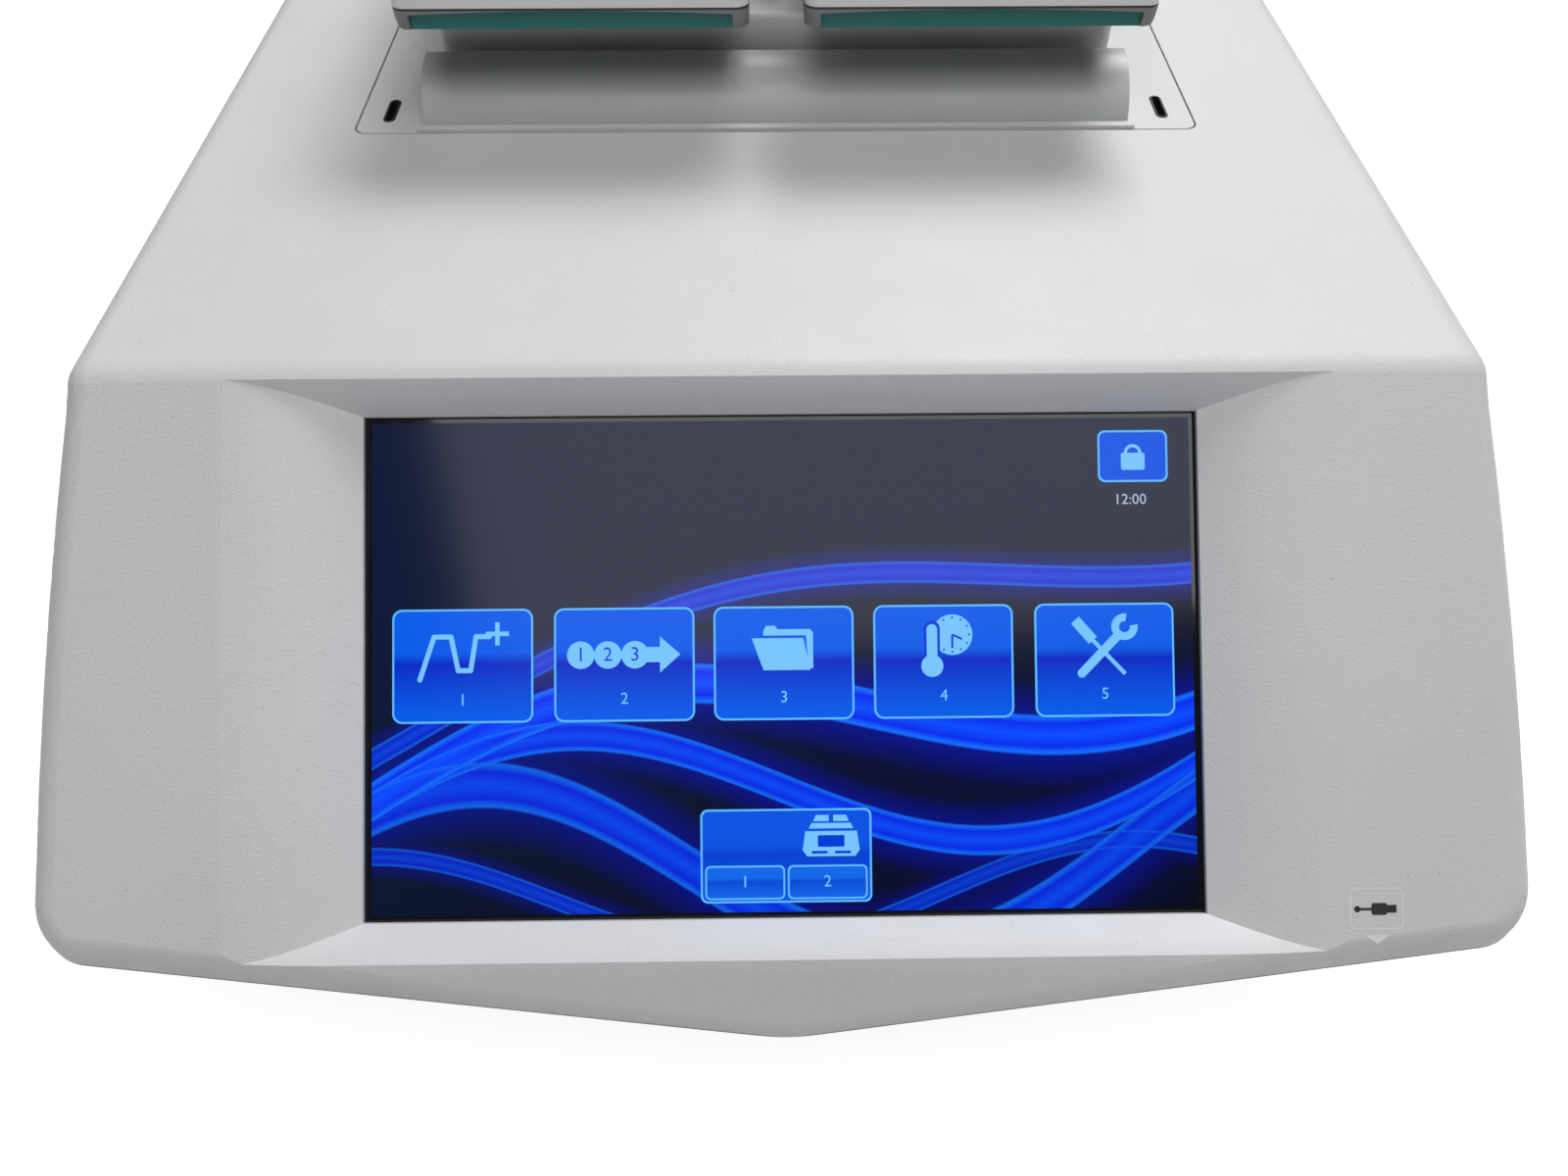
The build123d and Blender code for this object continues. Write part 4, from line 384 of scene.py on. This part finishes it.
def wave_glow(tree, across, up, height, swing, length, phase, slope, width):
    """Nearness to a flowing band: 1 on its middle line, fading with distance."""
    angle = maths(tree, "MULTIPLY_ADD", across, 2 * pi / length, phase)
    line = maths(tree, "MULTIPLY_ADD", maths(tree, "SINE", angle), swing, height)
    line = maths(tree, "MULTIPLY_ADD", across, slope, line)
    return maths(tree, "DIVIDE", maths(tree, "ABSOLUTE", maths(tree, "SUBTRACT", up, line)), width)


def picture_material():
    """Deep blue ground with a fan of flowing bands of light."""
    material, tree = new_material("screen_picture")
    shader = principled(tree, roughness=0.12)
    shader.inputs["Base Color"].default_value = (0.0, 0.0, 0.0, 1)
    shader.inputs["Specular IOR Level"].default_value = 0.22
    shader.inputs["Emission Strength"].default_value = 1.0
    split = add_node(tree, "ShaderNodeSeparateXYZ")
    tree.links.new(add_node(tree, "ShaderNodeTexCoord").outputs["UV"], split.inputs[0])
    across, up = split.outputs["X"], split.outputs["Y"]
    distance = maths(tree, "MULTIPLY_ADD", across, 0.55, maths(tree, "MULTIPLY", up, -0.75))
    cloud = maths(tree, "MULTIPLY_ADD", noise(tree, 14.0, 3.0), 0.3, distance)
    ground = ramp(
        tree,
        cloud,
        [(0.0, srgb(10, 22, 54)), (0.35, srgb(6, 12, 34)), (0.75, srgb(4, 6, 16)), (1.0, srgb(3, 4, 12))],
    )
    # Height, swing, length, phase, slope, width and power of each band
    bands = [
        (0.20, 0.15, 1.30, 0.2, 0.34, 0.040, 1.0),
        (0.14, 0.17, 1.18, 0.5, 0.22, 0.030, 0.9),
        (0.05, 0.20, 1.08, 0.9, 0.10, 0.046, 0.8),
        (0.34, 0.12, 1.45, -0.2, 0.44, 0.022, 0.7),
        (0.02, 0.10, 0.92, 1.6, 0.02, 0.018, 0.6),
    ]
    glow = ground
    for height, swing, length, phase, slope, width, power in bands:
        nearness = wave_glow(tree, across, up, height, swing, length, phase, slope, width)
        light = ramp(
            tree,
            maths(tree, "DIVIDE", nearness, 6.0),
            [
                (0.0, scaled(srgb(0, 78, 255), power)),
                (0.10, scaled(srgb(0, 44, 236), power)),
                (0.155, scaled(srgb(20, 110, 255), power)),
                (0.175, scaled(srgb(0, 22, 150), power * 0.8)),
                (0.45, scaled(srgb(0, 10, 70), power * 0.6)),
                (1.0, (0, 0, 0, 1)),
            ],
        )
        mix = add_node(tree, "ShaderNodeMix", data_type="RGBA", blend_type="LIGHTEN")
        mix.inputs[0].default_value = 1.0
        tree.links.new(glow, mix.inputs[6])
        tree.links.new(light, mix.inputs[7])
        glow = mix.outputs[2]
    tree.links.new(glow, shader.inputs["Emission Color"])
    return material


ICON = lit("icon_light", srgb(120, 196, 255))
OUTLINE = lit("tile_outline", srgb(96, 186, 255))
TILE = lit("tile_face", srgb(0, 92, 232), shade=(-0.0125, 0.0135, srgb(2, 40, 196)))
TILE_DARK = lit("tile_mark", srgb(0, 62, 214))
PANEL = lit("panel_face", srgb(10, 84, 226), shade=(-0.054, -0.032, srgb(6, 66, 208)))
PANEL_BUTTON = lit("panel_button", srgb(20, 104, 232), shade=(-0.0535, -0.0455, srgb(8, 74, 214)))
PALE = lit("screen_numerals", srgb(176, 190, 225))

picture_width, picture_height = 185.2, 110.6
picture = flat_piece(
    "screen_picture",
    [
        [
            (-picture_width / 2, -picture_height / 2),
            (picture_width / 2, -picture_height / 2),
            (picture_width / 2, picture_height / 2),
            (-picture_width / 2, picture_height / 2),
        ]
    ],
    1,
    picture_material(),
)
corners = picture.data.uv_layers.new(name="screen")
for loop, place in zip(corners.data, ((0, 0), (1, 0), (1, 1), (0, 1))):
    loop.uv = place

tile_width, tile_height, tile_v = 31.6, 25.6, 0.35
tile_places = (-72.2, -35.9, 0.0, 36.05, 72.5)
flat_piece("tile_outlines", [rounded(u, tile_v, tile_width, tile_height, 2.2) for u in tile_places], 2, OUTLINE)
flat_piece(
    "tile_faces",
    [rounded(u, tile_v, tile_width - 0.9, tile_height - 0.9, 1.8) for u in tile_places],
    3,
    TILE,
)

# Pictograms: a temperature profile, numbered steps, a folder, a thermometer with a clock, crossed tools
first, second, third, fourth, fifth = tile_places
profile = [(-9.6, -4.6), (-6.4, 5.0), (-2.6, 5.0), (-1.0, -2.6), (1.8, -2.6), (3.0, 5.0), (6.0, 5.0)]
profile_strokes = [stroke(profile[step], profile[step + 1], 1.1) for step in range(len(profile) - 1)]
joints = [disc(u, v, 0.55) for u, v in profile]
plus = [stroke((5.2, 5.6), (10.4, 5.6), 1.0), stroke((7.8, 3.0), (7.8, 8.2), 1.0)]
flat_piece("icon_profile", [moved(shape, first, tile_v + 1.6) for shape in profile_strokes + joints + plus], 4, ICON)

arrow = [(4.6, -1.5), (8.0, -1.5), (8.0, -3.9), (12.6, 0.2), (8.0, 4.3), (8.0, 1.9), (4.6, 1.9)]
steps = [disc(-9.8, 0.2, 3.1), disc(-3.7, 0.2, 3.1), disc(2.4, 0.2, 3.1)]
flat_piece("icon_steps", [moved(shape, second, tile_v + 2.0) for shape in steps + [arrow]], 4, ICON)

folder_back = [(-4.6, 4.2), (-4.0, 5.4), (-2.0, 5.4), (-1.4, 4.6), (5.9, 4.6), (6.6, 3.9), (6.6, -4.2), (5.6, -4.2)]
folder_front = [(-7.2, 2.6), (4.4, 2.6), (6.0, -4.6), (-4.6, -4.6)]
folder_back += [(5.0, 3.2), (-4.6, 3.2)]
flat_piece("icon_folder", [moved(shape, third, tile_v + 3.0) for shape in (folder_back, folder_front)], 4, ICON)

clock_u, clock_v = 2.0, 3.6
clock = disc(clock_u, clock_v, 4.6)
thermometer = [disc(-2.6, -3.4, 2.5), rounded(-2.6, 1.2, 2.4, 9.6, 1.15)]
clock_hands = [
    stroke((clock_u, clock_v), (2.0, 0.6), 0.5),
    stroke((clock_u, clock_v), (4.2, 2.6), 0.5),
]
stem_gap = rounded(-2.6, 1.4, 3.6, 10.8, 1.75)
hour_marks = [
    stroke(
        (clock_u + 3.6 * cos(pi * hour / 6), clock_v + 3.6 * sin(pi * hour / 6)),
        (clock_u + 4.1 * cos(pi * hour / 6), clock_v + 4.1 * sin(pi * hour / 6)),
        0.35,
    )
    for hour in range(12)
]
clock_marks = clock_hands + [stem_gap] + hour_marks
flat_piece("icon_clock", [moved(clock, fourth, tile_v + 2.4)], 4, ICON)
flat_piece("icon_clock_marks", [moved(shape, fourth, tile_v + 2.4) for shape in clock_marks], 5, TILE_DARK)
flat_piece("icon_thermometer", [moved(shape, fourth, tile_v + 2.4) for shape in thermometer], 6, ICON)

driver = [stroke((-6.6, 6.6), (-2.6, 2.0), 2.4), stroke((-2.6, 2.0), (4.6, -5.6), 0.9)]
wrench = [stroke((-5.2, -5.4), (3.6, 3.6), 2.0), disc(-5.2, -5.4, 1.0), ring(4.6, 5.0, 3.0, 1.25, 80, 370)]
flat_piece("icon_tools", [moved(shape, fifth, tile_v + 2.4) for shape in driver + wrench], 4, ICON)

# Key panel at the top right, status panel with two buttons, and a small drawing of the instrument
key_u, key_v = 79.7, 46.5
flat_piece("key_outline", [rounded(key_u, key_v, 15.9, 11.8, 1.6)], 2, OUTLINE)
flat_piece("key_face", [rounded(key_u, key_v, 15.0, 10.9, 1.3)], 3, PANEL)
lock_body = rounded(key_u, key_v - 1.2, 5.4, 3.9, 0.5)
lock_shackle = ring(key_u, key_v + 0.7, 2.0, 1.3, 0, 180)
flat_piece("key_lock", [lock_body, lock_shackle], 4, ICON)

status_u, status_v = 0.1, -42.8
flat_piece("status_outline", [rounded(status_u, status_v, 38.4, 20.9, 1.6)], 2, OUTLINE)
flat_piece("status_face", [rounded(status_u, status_v, 37.5, 20.0, 1.3)], 3, PANEL)
button_v = -48.7
button_places = (status_u - 9.25, status_u + 9.25)
flat_piece("button_outlines", [rounded(u, button_v, 17.9, 7.6, 1.2) for u in button_places], 4, OUTLINE)
flat_piece("button_faces", [rounded(u, button_v, 17.1, 6.8, 0.9) for u in button_places], 5, PANEL_BUTTON)
drawing_u, drawing_v = 10.2, -38.6
flat_piece(
    "icon_instrument",
    [
        [(drawing_u + u, drawing_v + v) for u, v in loop]
        for loop in (
            [(-6.4, -3.0), (-5.4, -4.4), (5.4, -4.4), (6.4, -3.0), (5.8, 1.2), (-5.8, 1.2)],
            [(-5.0, 1.8), (5.0, 1.8), (4.4, 3.0), (-4.4, 3.0)],
            [(-4.0, 3.4), (-0.5, 3.4), (-0.5, 4.8), (-3.4, 4.8)],
            [(4.0, 3.4), (3.4, 4.8), (0.5, 4.8), (0.5, 3.4)],
        )
    ],
    4,
    ICON,
)
flat_piece(
    "icon_instrument_marks",
    [
        rounded(drawing_u, drawing_v - 1.0, 6.0, 2.6, 0.3),
        rounded(drawing_u - 2.6, drawing_v - 3.5, 3.6, 0.6, 0.2),
        rounded(drawing_u + 2.6, drawing_v - 3.5, 3.6, 0.6, 0.2),
    ],
    5,
    TILE_DARK,
)


def numeral(name, text, u, v, height, layer, material):
    """A plain number on the screen, made into a mesh."""
    letters = bpy.data.curves.new(name + "_letters", "FONT")
    letters.body = text
    letters.size = height * 1.4 / 1000
    letters.align_x = "CENTER"
    letters.align_y = "CENTER"
    letters.resolution_u = 3
    holder = bpy.data.objects.new(name + "_letters", letters)
    bpy.context.collection.objects.link(holder)
    bpy.context.view_layer.update()
    mesh = bpy.data.meshes.new_from_object(holder)
    bpy.data.objects.remove(holder)
    face_axes = Matrix((FACE_U, FACE_V, FACE_N)).transposed().to_4x4()
    place = face_point(u / 1000, v / 1000, GLASS_TOP + layer * LAYER)
    mesh.transform(Matrix.Translation(place) @ face_axes)
    mesh.materials.clear()
    mesh.materials.append(material)
    piece = bpy.data.objects.new(name, mesh)
    bpy.context.collection.objects.link(piece)
    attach(piece, "chassis")
    return piece


for count, offset in enumerate((-9.8, -3.7, 2.4), start=1):
    numeral(f"step_number_{count}", str(count), second + offset, tile_v + 2.2, 3.2, 5, TILE_DARK)
for count, u in enumerate(tile_places, start=1):
    numeral(f"tile_number_{count}", str(count), u, tile_v - 7.7, 2.6, 4, ICON)
numeral("clock_digits", "12:00", 79.0, 36.6, 2.4, 2, PALE)
for count, u in enumerate(button_places, start=1):
    numeral(f"button_number_{count}", str(count), u, button_v + 0.1, 2.6, 6, ICON)


# Print on the fascia beside the screen: a framed port mark and a pointer to the port under the lip

PRINT_LIFT = 0.00004


def printed_piece(name, outlines, material):
    """Flat print on the fascia."""
    return shapes_at(name, outlines, FACE_RISE + PRINT_LIFT, material)


PALE_PRINT = moulded_plastic("pale_print", srgb(236, 237, 238), roughness=0.4)
DARK_PRINT = moulded_plastic("dark_print", srgb(52, 53, 56), roughness=0.4)
mark_u, mark_v = 128.3, -54.1
frame_corner_u, frame_corner_v = 4.6, 3.2
frame_side_u, frame_side_v = 5.7, 4.3
frame_line = 0.35
printed_piece(
    "port_mark_frame",
    [
        *(
            stroke((mark_u - frame_corner_u, mark_v + side), (mark_u + frame_corner_u, mark_v + side), frame_line)
            for side in (frame_side_v, -frame_side_v)
        ),
        *(
            stroke((mark_u + side, mark_v - frame_corner_v), (mark_u + side, mark_v + frame_corner_v), frame_line)
            for side in (-frame_side_u, frame_side_u)
        ),
        *(
            ring(mark_u + across * frame_corner_u, mark_v + up * frame_corner_v, 1.275, 0.925, turn, turn + 90)
            for across, up, turn in ((1, 1, 0), (-1, 1, 90), (-1, -1, 180), (1, -1, 270))
        ),
        [(mark_u - 2.7, mark_v - 5.6), (mark_u, mark_v - 7.6), (mark_u + 2.7, mark_v - 5.6)],
    ],
    PALE_PRINT,
)
printed_piece(
    "port_mark_plug",
    [
        stroke((mark_u - 4.2, mark_v), (mark_u - 1.0, mark_v), 0.55),
        rounded(mark_u + 0.6, mark_v, 3.4, 2.6, 0.5),
        rounded(mark_u + 3.3, mark_v, 2.2, 1.7, 0.1),
        disc(mark_u - 4.2, mark_v, 0.7),
    ],
    DARK_PRINT,
)

# Dark rimmed cups sunk in the two release slots of the module's plate: painted shade standing for the slots' dark
# depth


def slot_loop(x, y, length, width):
    """Plan of a slot, rounded at both ends, in metres."""
    straight = (length - width) / 2
    return arc(x, y + straight, width / 2, 0, 180, 10) + arc(x, y - straight, width / 2, 180, 360, 10)


# The plate's slope and the middle of a slot on it
TOP_SLOPE = radians(5.0)
SLOT_X, SLOT_Y, SLOT_Z = 0.1072, -0.01488, 0.17595
for side, sign in zip(SIDES, (-1, 1)):
    loops = [
        [(x, y, SLOT_Z + (y - SLOT_Y) * sin(TOP_SLOPE) / cos(TOP_SLOPE) + lift) for x, y in outline]
        for outline, lift in (
            (slot_loop(sign * SLOT_X, SLOT_Y, 0.0120, 0.0034), 0.0),
            (slot_loop(sign * SLOT_X, SLOT_Y, 0.0117, 0.0031), 0.00018),
            (slot_loop(sign * SLOT_X, SLOT_Y, 0.0107, 0.0021), 0.00018),
            (slot_loop(sign * SLOT_X, SLOT_Y, 0.0107, 0.0021), -0.0029),
        )
    ]
    count = len(loops[0])
    vertices = [point for loop in loops for point in loop]
    faces = [
        (row + step, row + (step + 1) % count, row + count + (step + 1) % count, row + count + step)
        for row in range(0, 3 * count, count)
        for step in range(count)
    ]
    faces.append(tuple(reversed(range(3 * count, 4 * count))))
    mesh_object(f"release_slot_painted_shade_{side}", vertices, faces, finishes["dark_plastic"], "module")


# Floor, backdrop, light and camera

def backdrop_material():
    """White to the camera and in gloss, plain to the light, and still shaded by the object."""
    material, tree = new_material("backdrop")
    diffuse = add_node(tree, "ShaderNodeBsdfDiffuse", Color=(0.45, 0.45, 0.45, 1))
    glow = add_node(tree, "ShaderNodeEmission", Color=(1, 1, 1, 1), Strength=0.84)
    both = add_node(tree, "ShaderNodeAddShader")
    path = add_node(tree, "ShaderNodeLightPath")
    seen = add_node(tree, "ShaderNodeMath", operation="MAXIMUM")
    mix = add_node(tree, "ShaderNodeMixShader")
    output = add_node(tree, "ShaderNodeOutputMaterial")
    tree.links.new(path.outputs["Is Camera Ray"], seen.inputs[0])
    tree.links.new(path.outputs["Is Glossy Ray"], seen.inputs[1])
    tree.links.new(diffuse.outputs[0], both.inputs[0])
    tree.links.new(glow.outputs[0], both.inputs[1])
    tree.links.new(seen.outputs[0], mix.inputs["Fac"])
    tree.links.new(diffuse.outputs[0], mix.inputs[1])
    tree.links.new(both.outputs[0], mix.inputs[2])
    tree.links.new(mix.outputs[0], output.inputs["Surface"])
    return material


def make_floor():
    """A wide pale floor under the feet."""
    mesh = bpy.data.meshes.new("floor")
    reach = 6.0
    mesh.from_pydata(
        [(-reach, -reach, 0), (reach, -reach, 0), (reach, reach, 0), (-reach, reach, 0)], [], [(0, 1, 2, 3)]
    )
    floor = bpy.data.objects.new("floor", mesh)
    bpy.context.collection.objects.link(floor)
    mesh.materials.append(backdrop_material())


def make_world():
    """Even pale surroundings."""
    world = bpy.data.worlds.new("studio")
    bpy.context.scene.world = world
    world.use_nodes = True
    tree = world.node_tree
    tree.nodes.clear()
    path = add_node(tree, "ShaderNodeLightPath")
    light = add_node(tree, "ShaderNodeBackground", Color=(0.95, 0.97, 1.0, 1), Strength=0.12)
    seen = add_node(tree, "ShaderNodeBackground", Color=(1, 1, 1, 1), Strength=1.0)
    mix = add_node(tree, "ShaderNodeMixShader")
    output = add_node(tree, "ShaderNodeOutputWorld")
    tree.links.new(path.outputs["Is Camera Ray"], mix.inputs["Fac"])
    tree.links.new(light.outputs[0], mix.inputs[1])
    tree.links.new(seen.outputs[0], mix.inputs[2])
    tree.links.new(mix.outputs[0], output.inputs["Surface"])


def add_lamp(name, place, target, size, power, colour=(1, 1, 1)):
    """A soft square lamp aimed at a point."""
    lamp = bpy.data.lights.new(name, "AREA")
    lamp.shape = "RECTANGLE"
    lamp.size, lamp.size_y = size
    lamp.energy = power
    lamp.color = colour
    holder = bpy.data.objects.new(name, lamp)
    bpy.context.collection.objects.link(holder)
    holder.location = place
    holder.rotation_euler = (Vector(target) - Vector(place)).to_track_quat("-Z", "Y").to_euler()


def make_camera():
    """The photograph's viewpoint."""
    turn_x, turn_y, turn_z = CAMERA_TURN
    turn = Matrix.Rotation(turn_z, 3, "Z") @ Matrix.Rotation(turn_y, 3, "Y") @ Matrix.Rotation(turn_x, 3, "X")
    place = face_point(*(-(turn.transposed() @ CAMERA_OFFSET)))
    face_axes = Matrix((FACE_U, FACE_V, FACE_N)).transposed()
    camera = bpy.data.cameras.new("camera")
    camera.lens = CAMERA_LENS
    camera.sensor_width = 36.0
    camera.clip_start = 0.01
    holder = bpy.data.objects.new("camera", camera)
    bpy.context.collection.objects.link(holder)
    holder.matrix_world = Matrix.Translation(place) @ (face_axes @ turn.transposed()).to_4x4()
    bpy.context.scene.camera = holder


make_floor()
make_world()
add_lamp("key", (0.45, 0.7, 1.45), (0, -0.05, 0.15), (0.9, 0.5), 16.5)
add_lamp("fill", (0.1, -0.8, 1.5), (0, -0.1, 0.1), (1.3, 1.0), 11.0)
make_camera()
bpy.context.scene.view_settings.view_transform = "Standard"
